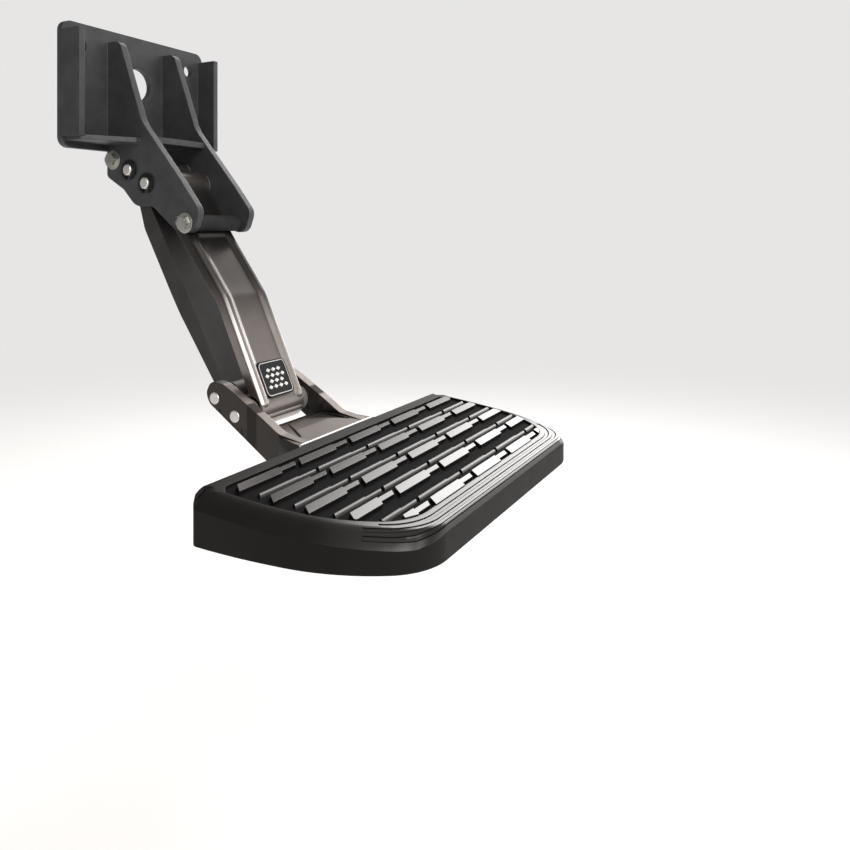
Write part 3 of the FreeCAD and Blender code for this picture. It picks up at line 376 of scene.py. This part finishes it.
# channel: outboard-edge offsets, end offsets, inboard offsets, where it stops (v)
CHANNELS = [((1.0, 3.0), (3.4, 5.6), (0.9, 1.9), 89.0),
            ((4.7, 7.6), (6.9, 9.4), (3.3, 5.5), 87.6),
            ((9.7, 12.8), (10.4, 12.5), (7.0, 9.4), 92.6)]
stops = []
for (o1, o2), (e1, e2), (i1, i2), v in CHANNELS:
    _, ky, oy = scaled(np.zeros((1, 2)), (e1 + e2) / 2, (o1 + o2) / 2, (i1 + i2) / 2)
    y = (D(0, v, -0.5)[1] - oy) / ky
    stops.append(y)
    for yy in (y + 0.12, y - 0.12):
        for i in range(1, len(half)):
            (xa, ya), (xb, yb) = half[i - 1], half[i]
            if ya > yy >= yb and ya - yb > 1e-9:
                t = (ya - yy) / (ya - yb)
                half.insert(i, (xa + (xb - xa) * t, yy))
                break
loop = np.array(half + [(-x, y) for x, y in reversed(half[1:-1])])
N = len(loop)
tang = np.roll(loop, -1, 0) - np.roll(loop, 1, 0)
tang /= np.linalg.norm(tang, axis=1)[:, None]
normal = np.c_[tang[:, 1], -tang[:, 0]]              # points into the deck
cen = loop.mean(0)
if ((cen - loop) * normal).sum() < 0:
    normal = -normal
full, _, _ = scaled(loop, 14.0, 4.0, 3.6)
W = ((full - loop) * normal).sum(1)
f = np.clip((W - 4.0) / 5.0, 0, 1)
H = 4.1 + 3.9 * f
P = 3.6 - 1.85 * f


def rim_height(pts):
    s = ((pts - loop) * normal).sum(1)
    u = np.clip(1.0 - s / W, 0, 1)
    return -H * u ** P


def deck_mesh():
    g = Mesh()
    SKIRT, RIM, FIELD_AND_SHADE, BAR, RIDGE = 0, 1, 2, 3, 4
    zk = (-290.8 + 294.6) / (Y_IN - Y_OUT)
    notch = (loop[:, 1] > Y_IN - 0.5) & (np.abs(loop[:, 0]) < 47.65)

    def bottom(pts):
        z = -290.8 + (pts[:, 1] - Y_IN) * zk
        top = np.array([z_at(y, -4.15) for y in pts[:, 1]])
        return np.where(notch, top, z)

    def put(pts, z):
        return g.ring([(float(p[0]), float(p[1]), float(q)) for p, q in zip(pts, z)])

    # rim, from the top of the skirt to the wall of the tread field
    rows = []

    def station(do, de, di, depth=None, mat=RIM):
        pts, _, _ = scaled(loop, de, do, di)
        h = rim_height(pts)
        if depth is not None:
            h = h - depth
        rows.append((pts, np.array([z_at(y, hh) for y, hh in zip(pts[:, 1], h)]), mat))

    station(0, 0, 0)
    station(0.12, 0.5, 0.12)
    station(0.32, 1.3, 0.32)
    station(0.62, 2.3, 0.6)
    mids = {0: [(3.7, 6.3, 2.6)], 1: [(8.6, 9.9, 6.2)], 2: [(13.6, 12.9, 10.0), (15.4, 13.5, 10.8)]}
    for k, ((o1, o2), (e1, e2), (i1, i2), v) in enumerate(CHANNELS):
        on = (loop[:, 1] < stops[k]).astype(float)
        # slot faces and the step back up take the matte field colour: painted shade in the slots
        for t, dep, mat in ((0.0, 0.0, RIM), (0.035, 1.15, FIELD_AND_SHADE), (0.24, 1.15, FIELD_AND_SHADE), (0.27, 0.5, FIELD_AND_SHADE), (0.5, 0.5, RIM), (0.93, 0.5, RIM), (1.0, 0.0, FIELD_AND_SHADE)):
            station(o1 + (o2 - o1) * t, e1 + (e2 - e1) * t, i1 + (i2 - i1) * t, on * dep, (mat, on))
        for q in mids[k]:
            station(*q)
    station(16.5, 13.9, 11.4)
    wall0 = len(rows)
    station(16.75, 14.15, 11.65, np.full(N, 0.12))
    # the drop into the tread field takes the field colour: painted shade on the wall
    station(16.9, 14.3, 11.8, np.full(N, 0.40), FIELD_AND_SHADE)
    for (do, de, di, h) in ((17.05, 14.4, 11.9, -1.45), (17.35, 14.7, 12.2, -1.7)):
        pts, _, _ = scaled(loop, de, do, di)
        rows.append((pts, np.array([z_at(y, h) for y in pts[:, 1]]), FIELD_AND_SHADE))
    rings = [put(p, z) for p, z, _ in rows]
    for a, b, (_, _, mat) in zip(rings, rings[1:], rows[1:]):
        if isinstance(mat, tuple):
            m = [mat[0] if mat[1][i] > 0.5 and mat[1][(i + 1) % N] > 0.5 else RIM for i in range(N)]
        else:
            m = mat
        g.skin(a, b, m)
    g.face(rings[-1], FIELD_AND_SHADE)

    # skirt down to the rounded bottom edge, then the hollow inside
    bot = bottom(loop)
    prev = rings[0]
    for off, up in ((0.0, None), (0.0, 1.0), (0.22, 0.3), (0.8, 0.0)):
        pts, _, _ = scaled(loop, off, off, off)
        top = np.array([z_at(y, 0) for y in loop[:, 1]]) - H
        z = top - 1.2 if up is None else bot + up
        z = np.minimum(np.maximum(z, bot), top - 0.02)
        cur = put(pts, z)
        g.skin(prev, cur, SKIRT)
        prev = cur
    inner, _, _ = scaled(loop, 3.2, 3.2, 3.2)
    bi = np.where(notch, np.array([z_at(y, -4.18) for y in inner[:, 1]]), -290.8 + (inner[:, 1] - Y_IN) * zk)
    for pts, z in ((scaled(loop, 2.8, 2.8, 2.8)[0], bi), (inner, bi + np.where(notch, 0.0, 0.5)),
                   (inner, np.maximum(np.array([z_at(y, -11.6) for y in inner[:, 1]]), bi + np.where(notch, 0.0, 1.0)))):
        cur = put(pts, z)
        g.skin(prev, cur, SKIRT)
        prev = cur
    roof, _, _ = scaled(loop, 14.2, 4.2, 3.7)
    cur = put(roof, np.array([z_at(y, -4.2) for y in roof[:, 1]]))
    g.skin(prev, cur, SKIRT)
    g.face(cur, SKIRT)

    # tread bars and ridges
    cr = [(139.0, -3.0), (138.8, 8.0), (137.4, 30.0), (134.6, 52.0), (128.9, 72.0), (123.2, 82.6), (115.0, 92.4), (106.4, 99.6), (97.0, 103.2), (88.0, 104.0)]
    region = cr + [(-x, v) for x, v in reversed(cr)]

    def clip(poly):
        out = list(poly)
        n = len(region)
        for i in range(n):
            (x1, y1), (x2, y2) = region[i], region[(i + 1) % n]
            side = lambda p: (x2 - x1) * (p[1] - y1) - (y2 - y1) * (p[0] - x1)
            src, out = out, []
            for j in range(len(src)):
                p, q = src[j - 1], src[j]
                sp_, sq = side(p), side(q)
                if (sp_ >= -1e-9) != (sq >= -1e-9):
                    t = sp_ / (sp_ - sq)
                    out.append((p[0] + t * (q[0] - p[0]), p[1] + t * (q[1] - p[1])))
                if sq >= -1e-9:
                    out.append(q)
            if len(out) < 3:
                return []
        res = []
        for p in out:
            if not res or math.hypot(p[0] - res[-1][0], p[1] - res[-1][1]) > 0.45:
                res.append(p)
        while len(res) > 2 and math.hypot(res[0][0] - res[-1][0], res[0][1] - res[-1][1]) < 0.45:
            res.pop()
        return res if len(res) > 2 else []

    def round_corners(pts, r):
        out = []
        n = len(pts)
        for i in range(n):
            p = Vector(pts[i])
            a, b = Vector(pts[i - 1]) - p, Vector(pts[(i + 1) % n]) - p
            k = min(r, 0.3 * a.length, 0.3 * b.length)
            a.normalize()
            b.normalize()
            if abs(a.dot(b)) > 0.995:
                out.append(tuple(p))
                continue
            s, e = p + a * k, p + b * k
            m = (s + e + p * 2) / 4
            out += [tuple(s), tuple(m), tuple(e)]
        return out

    def inset(pts, d):
        n = len(pts)
        out = []
        area = sum(pts[i][0] * pts[(i + 1) % n][1] - pts[(i + 1) % n][0] * pts[i][1] for i in range(n))
        sg = 1.0 if area > 0 else -1.0
        for i in range(n):
            p = Vector(pts[i])
            a, b = (p - Vector(pts[i - 1])).normalized(), (Vector(pts[(i + 1) % n]) - p).normalized()
            na, nb = Vector((-a.y, a.x)) * sg, Vector((-b.y, b.x)) * sg
            m = (na + nb)
            l = m.length
            if l < 1e-6:
                out.append(tuple(p))
                continue
            m /= l
            out.append(tuple(p + m * (d / max(0.45, m.dot(na)))))
        return out

    def bar(pts):
        pts = round_corners(pts, 0.5)
        # bar sides take the field colour as painted shade; the tops and chamfers take the bar colour
        levels = [(-1.72, -0.22, FIELD_AND_SHADE), (-1.4, -0.08, FIELD_AND_SHADE), (0.15, 0.0, FIELD_AND_SHADE), (0.42, 0.03, BAR), (0.55, 0.09, BAR), (0.6, 0.19, BAR)]
        prev = None
        for h, d, m in levels:
            cur = g.ring([D(x, v, h) for x, v in inset(pts, d)])
            if prev:
                g.skin(prev, cur, m)
            prev = cur
        g.face(prev, BAR)

    ROW, SEG, X0, CUT, BW = 24.157, 58.0, -129.5, -0.863, 7.85
    starts = {0: 0.0, 1: 0.5, 2: 1.0, 3: 9.5, 4: 26.0}
    for n in range(5):
        for k in range(5):
            v0, u = n * ROW, k * SEG
            s = u if k else starts[n]
            q = lambda du, dv: (X0 + u + du, v0 + dv)
            pts = [(X0 + s, v0), q(38.0, 0.0), q(37.0, 1.1), q(52.9, 1.1), q(48.4, 5.4), q(34.2, 5.4), q(31.8, BW), (X0 + s + CUT * BW, v0 + BW)]
            if k == 4 or (n >= 3 and k == 0):
                pts = clip(pts)
            if pts:
                bar(pts)

    xs = [p[0] for p in cr]
    vs = [p[1] for p in cr]
    for n in range(4):
        vr = n * ROW + 15.6
        for k in range(5):
            u0 = X0 + k * SEG - 0.6
            if k == 0:
                u0 = X0 + (1.0, 2.0, 6.0, 16.0)[n]
            e1, e2 = X0 + k * SEG + 36.5, X0 + k * SEG + 53.2
            for (va, wd, ht, ua, ub) in ((vr, 5.0, 1.75, u0, e1), (vr + 0.8, 4.0, 1.5, e1 - 0.6, e2)):
                r = (wd * wd / 4 + ht * ht) / (2 * ht)
                half_a = math.asin(min(1.0, wd / 2 / r))
                A, B = [], []
                m = 12
                for i in range(m + 1):
                    a = -half_a + 2 * half_a * i / m
                    v = va + wd / 2 + r * math.sin(a)
                    h = -1.7 + ht - r + r * math.cos(a)
                    lim = float(np.interp(v, vs, xs))
                    lo = max(ua + CUT * (v - va), -lim)
                    hi = min(ub + CUT * (v - va), lim)
                    A.append((lo, v, h))
                    B.append((hi, v, h))
                if min(b[0] - a[0] for a, b in zip(A, B)) < 1.0:
                    continue
                prof = [g.ring([D(*p) for p in A])]
                for t in (0.015, 0.985):
                    prof.append(g.ring([D(a[0] + (b[0] - a[0]) * t, a[1], a[2]) for a, b in zip(A, B)]))
                prof.append(g.ring([D(*p) for p in B]))
                for a, b in zip(prof, prof[1:]):
                    g.skin(a, b, RIDGE, closed=False)
                g.face(prof[0], FIELD_AND_SHADE)
                g.face(prof[-1], FIELD_AND_SHADE)

    # ribs and bosses under the skin
    def slab(x0, x1, v0, v1, h0, h1):
        a = g.ring([D(*p, h0) for p in ((x0, v0), (x1, v0), (x1, v1), (x0, v1))])
        b = g.ring([D(*p, h1) for p in ((x0, v0), (x1, v0), (x1, v1), (x0, v1))])
        g.skin(a, b, SKIRT)
        g.face(a, SKIRT)
        g.face(b, SKIRT)

    for x in (-132.0, -108.0, -84.0, -60.0, 60.0, 84.0, 108.0, 132.0):
        slab(x - 1, x + 1, V_IN + 3.4, 90.0 if abs(x) > 125 else 116.8, -10.8, -3.8)
    for v, xe in ((22.0, 142.0), (62.0, 137.0), (98.0, 112.0)):
        slab(-xe, xe, v - 1, v + 1, -10.8, -3.8)
    for x in (-36.0, -12.0, 12.0, 36.0):
        slab(x - 1, x + 1, 21.5, 117.0, -10.8, -3.8)
    for x, v in ((-99.0, 42.0), (99.0, 42.0), (-22.0, 17.0), (22.0, 17.0), (-22.0, 80.0), (22.0, 80.0)):
        prev = None
        for r, h in ((6.4, -3.8), (6.0, -5.2), (6.0, -10.6), (5.7, -10.93), (4.02, -10.93), (4.02, -5.2)):
            cur = g.ring([D(x + r * math.cos(a), v + r * math.sin(a), h) for a in [2 * math.pi * i / 28 for i in range(28)]])
            if prev:
                g.skin(prev, cur, SKIRT)
            prev = cur
        g.face(prev, SKIRT)
    return g


deck = deck_mesh().build("deck_shell", [M["skirt"], M["rim"], M["field"], M["bar"], M["ridge"]], 30.0)
wn = deck.modifiers.new("normals", "WEIGHTED_NORMAL")
wn.weight = 70
wn.keep_sharp = True
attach(deck, "step_carrier")
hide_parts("deck")

# ------------------------------------------------------------------- spring
LS, LC = 0.5, math.cos(rad(30))
IN_UP = (-32.0, -66.495)


def spring_mesh():
    r, wire, turns, pitch = 6.45, 1.2, 7.0 + 30 / 360.0, 2.55
    h0 = -turns * pitch / 2
    path = []
    for i in range(8):                                     # leg lying behind the arm
        t = 36.0 * (1 - i / 8)
        path.append((h0, IN_UP[0] + LC * r - LS * t, IN_UP[1] - LS * r - LC * t))
    m = int(turns * 36)
    for i in range(m + 1):
        a = rad(-30) + 2 * math.pi * turns * i / m
        path.append((h0 + pitch * turns * i / m, IN_UP[0] + r * math.cos(a), IN_UP[1] + r * math.sin(a)))
    top = 222.95 - 268.0
    for i in range(1, 7):
        path.append((-h0, IN_UP[0] + r, IN_UP[1] + (top - IN_UP[1]) * i / 6))
    g = Mesh()
    prev = None
    ref = Vector((1, 0, 0))
    for i, p in enumerate(path):
        a = Vector(path[max(0, i - 1)])
        b = Vector(path[min(len(path) - 1, i + 1)])
        t = (b - a).normalized()
        u = (ref - t * ref.dot(t)).normalized()
        w = t.cross(u)
        cur = g.ring([tuple(Vector(p) + (u * math.cos(q) + w * math.sin(q)) * wire) for q in [2 * math.pi * j / 12 for j in range(12)]])
        if prev:
            g.skin(prev, cur, 0)
        else:
            g.face(cur, 0)
        prev = cur
    g.face(prev, 0)
    return g


spring = spring_mesh().build("torsion_spring", [M["spring"]], 40.0)
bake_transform(spring)
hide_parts("return_spring")

# ---------------------------------------------------------------- outer arm
KNEE = (104.9 - 232.0, 102.0 - 268.0)
D_LO, D_UP = (0.4287, 0.9035), (0.6018, 0.7986)
OUT_LO, OUT_UP = (-151.5, -251.0), (-51.5, -77.795)


def tube(g, c, profile, n=56, mat=0):
    """Surface of revolution round the X axis through c; profile is closed (x, radius)."""
    rings = []
    for x, r in profile:
        rings.append(g.ring([(x, c[0] + r * math.cos(2 * math.pi * i / n), c[1] + r * math.sin(2 * math.pi * i / n)) for i in range(n)]))
    for a, b in zip(rings, rings[1:] + rings[:1]):
        g.skin(a, b, mat)


def barrel(g, c, r, bore, half, e=0.9):
    prof = []
    for s in (1, -1):
        q = [(half - 0.35, bore), (half, bore + 0.35), (half, r - e), (half - e * 0.3, r - e * 0.3), (half - e, r)]
        prof += [(x * s, y) for x, y in (q if s > 0 else q[::-1])]
    tube(g, c, prof)


def outer_arm_mesh():
    g = Mesh()
    V2 = Vector
    k, dl, du = V2(KNEE), V2(D_LO), V2(D_UP)
    nl, nu = V2((-dl.y, dl.x)), V2((-du.y, du.x))
    rows = []                      # front point, inward direction, thickness, front recess, back pocket

    def clampf(x):
        return max(0.0, min(1.0, x))

    for s, drop in ((90.6, 7.5), (90.4, 5.0), (89.9, 3.2), (89.1, 1.8), (88.0, 0.8), (86.6, 0.2), (84.5, 0.0)):
        f = k - dl * s - nl * drop
        rows.append((f, -nl, 10.3 - drop, 1.0, 0.0))
    for s in (80, 76, 72, 68, 64.5, 63, 61.5, 60, 50, 40, 30, 20, 12, 7, 4):
        rows.append((k - dl * s, -nl, 10.3, 1.0, clampf((64.0 - s) / 3.0)))
    for i in range(1, 8):
        u = i / 8
        f = (k - dl * 4).lerp(k, u).lerp(k.lerp(k + du * 4, u), u)
        n = (-nl).lerp(-nu, u).normalized()
        rows.append((f, n, 10.3, 1.0, 1.0))
    for s in (4, 8, 14, 22, 30, 38, 42, 43.5, 45, 46.5, 52, 56, 57.5, 59, 60.5, 62, 70, 78, 84):
        rows.append((k + du * s, -nu, 10.3 + 2.2 * clampf((s - 40) / 50), clampf((61.5 - s) / 4.0), clampf((46.0 - s) / 3.0)))
    top = V2((160.8 - 232.0, 176.2 - 268.0))
    end = V2((169.6 - 232.0, 196.8 - 268.0))
    a, b = top - du * 7, top + (end - top).normalized() * 7
    for i in range(0, 7):
        u = i / 6
        f = a.lerp(top, u).lerp(top.lerp(b, u), u)
        n = (-nu).lerp(V2((0.92, -0.39)), u).normalized()
        rows.append((f, n, 12.7, 0.0, 0.0))
    rows.append((end, V2((0.86, -0.51)), 12.9, 0.0, 0.0))
    prev = None
    for f, n, th, p, q in rows:
        d, w = 2.1 * p, 4.2 * q
        half_prof = [(0, d), (5, d), (10, d), (14.0, d), (14.8, d * 0.96), (15.5, d * 0.84), (18.5, d * 0.12), (19.1, d * 0.03), (19.8, 0), (21.2, 0), (22.3, 0),
                     (22.8, 0.12), (23.2, 0.42), (24.5, 1.75), (24.85, 2.25), (25, 2.9), (25, 4.0), (25, th * 0.55 + 0.5), (25, th - 1.3), (24.85, th - 0.75),
                     (24.4, th - 0.25), (23.7, th), (20.8, th), (20.2, th - 0.02 * w), (19.7, th - 0.1 * w), (18.8, th - 0.86 * w), (18.2, th - 0.97 * w), (17.4, th - w), (9, th - w), (0, th - w)]
        if th < 6:
            m = th / 6.0
            half_prof = [(x, t * m if t < 5 else t) for x, t in half_prof]
        half_prof = [(x, min(t, th)) for x, t in half_prof]
        pts = half_prof + [(-x, t) for x, t in half_prof[-2:0:-1]]
        cur = g.ring([(x, f.x + n.x * t, f.y + n.y * t) for x, t in pts])
        if prev:
            # rail faces take the lighter alloy copy: painted highlight
            g.skin(prev, cur, [1 if 6 <= min(i, 59 - i) <= 15 else 0 for i in range(len(cur))])
        else:
            g.face(cur, 0)
        prev = cur
    g.face(prev, 0)
    for c in (OUT_LO, OUT_UP):
        barrel(g, c, 12.8, 6.52, 25.0)
    a = rad(199)
    c = (OUT_LO[0] + 12.4 * math.cos(a), OUT_LO[1] + 12.4 * math.sin(a))
    prof = [(23.8 - 2.1 + 2.1 * math.sin(rad(q)), max(0.05, 2.1 * math.cos(rad(q)))) for q in (90, 70, 50, 30, 12, 0)]
    rings = []
    for x, r in prof + [(-x, r) for x, r in prof[::-1]]:
        rings.append(g.ring([(x, c[0] + r * math.cos(2 * math.pi * i / 24), c[1] + r * math.sin(2 * math.pi * i / 24)) for i in range(24)]))
    for u, v in zip(rings, rings[1:]):
        g.skin(u, v, 0)
    g.face(rings[0], 0)
    g.face(rings[-1], 0)
    return g


arm = outer_arm_mesh().build("outer_arm_casting", [M["arm"], M["rail"]], 34.0)
wn = arm.modifiers.new("normals", "WEIGHTED_NORMAL")
wn.weight = 60
wn.keep_sharp = True
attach(arm, "outer_arm")
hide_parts("outer_arm")

# -------------------------------------------------------------------- badge
N_LO = (-D_LO[1], D_LO[0])
BC = (KNEE[0] - D_LO[0] * 69.2, KNEE[1] - D_LO[1] * 69.2)


def on_arm(x, s, h):
    """Across the arm, up along its front face from the badge's centre, out from the face."""
    return (x, BC[0] + D_LO[0] * s + N_LO[0] * h, BC[1] + D_LO[1] * s + N_LO[1] * h)


def rounded_rect(w, h, r, n=6):
    pts = []
    for cx, cy, a0 in ((w - r, h - r, 0), (-w + r, h - r, 90), (-w + r, -h + r, 180), (w - r, -h + r, 270)):
        for i in range(n + 1):
            a = rad(a0 + 90 * i / n)
            pts.append((cx + r * math.cos(a), cy + r * math.sin(a)))
    return pts


def badge_mesh():
    g = Mesh()
    base = -2.17
    prev = None
    rr = lambda d: rounded_rect(16.4 - d, 14.4 - d, max(0.6, 4.9 - d))
    for d, h, m in ((0.0, 0.0, 0), (0.0, 1.15, 0), (0.12, 1.42, 0), (0.42, 1.58, 0), (1.15, 1.58, 0), (1.3, 1.5, 0),
                    (1.32, 1.46, 1), (1.85, 1.46, 1), (1.9, 1.2, 0), (2.3, 1.15, 0)):
        cur = g.ring([on_arm(x, s, base + h) for x, s in rr(d)])
        if prev:
            g.skin(prev, cur, m)
        else:
            g.face(cur, 0)
        prev = cur
    g.face(prev, 0)
    # a plain lattice of raised lozenges
    for j, s in enumerate((-6.6, -2.2, 2.2, 6.6)):
        cols = (-9.0, -3.0, 3.0, 9.0) if j % 2 == 0 else (-6.0, 0.0, 6.0)
        for x in cols:
            prev = None
            for k, h in ((1.0, 1.1), (1.0, 1.36), (0.86, 1.45)):
                cur = g.ring([on_arm(x + a * k, s + b * k, base + h) for a, b in ((2.5, 0), (0, 1.65), (-2.5, 0), (0, -1.65))])
                if prev:
                    g.skin(prev, cur, 1)
                prev = cur
            g.face(prev, 1)
    return g


badge = badge_mesh().build("badge_plate", [M["plate"], M["inlay"]], 32.0)
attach(badge, "outer_arm")
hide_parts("badge")

# ------------------------------------------------- finishes on the CAD nodes
LOOK = {
    "mount_bracket": ("bracket", 0, 0), "stop_bolts": ("zinc", 0.3, 2), "stop_nuts": ("zinc", 0.3, 2),
    "deploy_stop_sleeve": ("rubber", 0.4, 2), "stow_stop_sleeve": ("rubber", 0.4, 2),
    "upper_outer_pin": ("pin", 0.2, 2), "upper_inner_pin": ("pin", 0.2, 2), "pin_clips": ("black", 0.12, 1),
    "upper_thrust_washers": ("bush", 0.15, 1), "outer_arm_upper_bushes": ("bush", 0.15, 1),
    # inner arm in the dark alloy: painted shade
    "outer_arm_lower_bushes": ("bush", 0.15, 1), "inner_arm": ("dark", 0, 0), "inner_arm_upper_bushes": ("bush", 0.15, 1),
    "inner_arm_lower_bushes": ("bush", 0.15, 1), "step_casting": ("cast", 0, 0), "lower_outer_pin": ("pin", 0.2, 2),
    "lower_inner_pin": ("pin", 0.2, 2), "lower_spacers": ("bush", 0.15, 1), "pin_lock_screws": ("dark", 0.08, 1),
    "deck_inserts": ("brass", 0.15, 1), "deck_screws": ("zinc", 0.25, 2),
}
for name, (m, width, seg) in LOOK.items():
    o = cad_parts[name]
    paint(o, M[m])
    if width > 0:
        soften(o, width, seg)

# --------------------------------------------------------------- the studio
cam_data = bpy.data.cameras.new("cam")
cam = bpy.data.objects.new("cam", cam_data)
sc.collection.objects.link(cam)
sc.camera = cam
cam_data.sensor_width = 36.0
cam_data.lens = 33.04
cam_data.clip_start = 0.01
cam.location = (-0.4771, -0.5430, -0.1130)
look = Vector((math.cos(rad(28.23)), math.sin(rad(28.23)), 0))
cam.rotation_mode = "QUATERNION"
cam.rotation_quaternion = look.to_track_quat("-Z", "Y")
cam_data.shift_y = -197.65 / 850
# the shift belongs to this one standpoint; a camera moved elsewhere has none
drv = cam_data.driver_add("shift_y").driver
drv.type = "SCRIPTED"
for axis in "XY":
    v = drv.variables.new()
    v.name = "p" + axis.lower()
    v.type = "TRANSFORMS"
    v.targets[0].id = cam
    v.targets[0].transform_type = "LOC_" + axis
    v.targets[0].transform_space = "WORLD_SPACE"
drv.expression = "-0.23253 if abs(px + 0.4771) + abs(py + 0.543) < 0.002 else 0.0"

FLOOR_Z = -0.62
g = Mesh()
g.face(g.ring([(-9000, -9000, FLOOR_Z * 1000), (9000, -9000, FLOOR_Z * 1000), (9000, 9000, FLOOR_Z * 1000), (-9000, 9000, FLOOR_Z * 1000)]))
fm = bpy.data.materials.new("floor")
fm.use_nodes = True
t = Tree(fm.node_tree)
out = t.add("ShaderNodeOutputMaterial")
bs = t.add("ShaderNodeBsdfPrincipled")
tc = t.add("ShaderNodeTexCoord")
c = t.noise(tc.outputs["Object"], 2.0, 3.0, 0.5)
t.link(t.mix(t.remap(c, 0.3, 0.7), (0.835, 0.825, 0.82), (0.845, 0.835, 0.83)), bs.inputs["Base Color"])
far = t.add("ShaderNodeVectorMath", operation="LENGTH")
t.link(tc.outputs["Object"], far.inputs[0])
near = t.remap(far.outputs["Value"], 0.9, 2.6)
haze = t.add("ShaderNodeEmission")
haze.inputs[0].default_value = (0.86, 0.85, 0.845, 1)
haze.inputs[1].default_value = 0.93
mx = t.add("ShaderNodeMixShader")
t.link(near, mx.inputs[0])
t.link(bs.outputs[0], mx.inputs[1])
t.link(haze.outputs[0], mx.inputs[2])
t.link(mx.outputs[0], out.inputs[0])
bs.inputs["Roughness"].default_value = 0.9
bs.inputs["Specular IOR Level"].default_value = 0.1
floor = g.build("floor", [fm])

world = bpy.data.worlds.new("studio")
sc.world = world
world.use_nodes = True
t = Tree(world.node_tree)
out = t.add("ShaderNodeOutputWorld")
bg_cam = t.add("ShaderNodeBackground")
bg_cam.inputs[0].default_value = (0.86, 0.85, 0.845, 1)
bg_cam.inputs[1].default_value = 0.93
bg_gl = t.add("ShaderNodeBackground")
tc = t.add("ShaderNodeTexCoord")
sp = t.add("ShaderNodeSeparateXYZ")
t.link(tc.outputs["Generated"], sp.inputs[0])
az = t.maths("ARCTAN2", sp.outputs[1], sp.outputs[0])                 # 0 along +X, positive inboard
el = t.maths("ARCSINE", sp.outputs[2])
def spot(a0, e0, ra, re):
    """Soft-edged patch of the surround: centre and full/none radii in azimuth and elevation."""
    da = t.maths("ABSOLUTE", t.maths("SUBTRACT", az, rad(a0)))
    de = t.maths("ABSOLUTE", t.maths("SUBTRACT", el, rad(e0)))
    return t.maths("MULTIPLY", t.remap(da, rad(ra[0]), rad(ra[1]), 1.0, 0.0), t.remap(de, rad(re[0]), rad(re[1]), 1.0, 0.0))


# bright panel ahead and outboard, falling away inboard where the body side would be
lean = t.maths("MULTIPLY", az, -4.870)
pan = t.remap(t.maths("MULTIPLY_ADD", el, 4.297, lean), -1.05, -0.05)
pan = t.maths("MULTIPLY", pan, t.remap(az, rad(-22), rad(0), 0.0, 1.0))
pan = t.maths("MULTIPLY", pan, t.remap(el, rad(36), rad(54), 1.0, 0.0))
# a low panel outboard for the arm's front face and one behind the standpoint for its edges
low_panel = spot(-40, 4, (16, 44), (10, 26))
rear_panel = spot(-120, 28, (14, 34), (14, 32))
base = t.remap(el, rad(-30), rad(12), 0.10, 0.20)
top = t.remap(el, rad(50), rad(80), 0.0, 0.35)
st = t.maths("ADD", base, top)
st = t.maths("MULTIPLY_ADD", pan, 5.6, st)
st = t.maths("MULTIPLY_ADD", low_panel, 0.9, st)
st = t.maths("MULTIPLY_ADD", rear_panel, 4.6, st)
t.link(st, bg_gl.inputs[1])
bg_gl.inputs[0].default_value = (1.0, 0.985, 0.97, 1)
lp = t.add("ShaderNodeLightPath")
m2 = t.add("ShaderNodeMixShader")
t.link(lp.outputs["Is Camera Ray"], m2.inputs[0])
t.link(bg_gl.outputs[0], m2.inputs[1])
t.link(bg_cam.outputs[0], m2.inputs[2])
t.link(m2.outputs[0], out.inputs[0])


def area(name, at, to, size, power, colour=(1, 1, 1)):
    l = bpy.data.lights.new(name, "AREA")
    l.shape = "DISK"
    l.size = size
    l.energy = power
    l.color = colour
    o = bpy.data.objects.new(name, l)
    sc.collection.objects.link(o)
    o.location = at
    o.rotation_mode = "QUATERNION"
    o.rotation_quaternion = (Vector(to) - Vector(at)).to_track_quat("-Z", "Y")
    o.visible_glossy = False
    return o


area("key", (0.9, -1.5, 1.1), (0, -0.22, -0.2), 1.1, 20, (1.0, 0.98, 0.95))
area("rim", (1.4, 0.5, 0.5), (0, -0.2, -0.2), 0.7, 8, (1.0, 0.98, 0.96))

sc.view_settings.view_transform = "Standard"
sc.view_settings.look = "None"

bpy.context.view_layer.update()
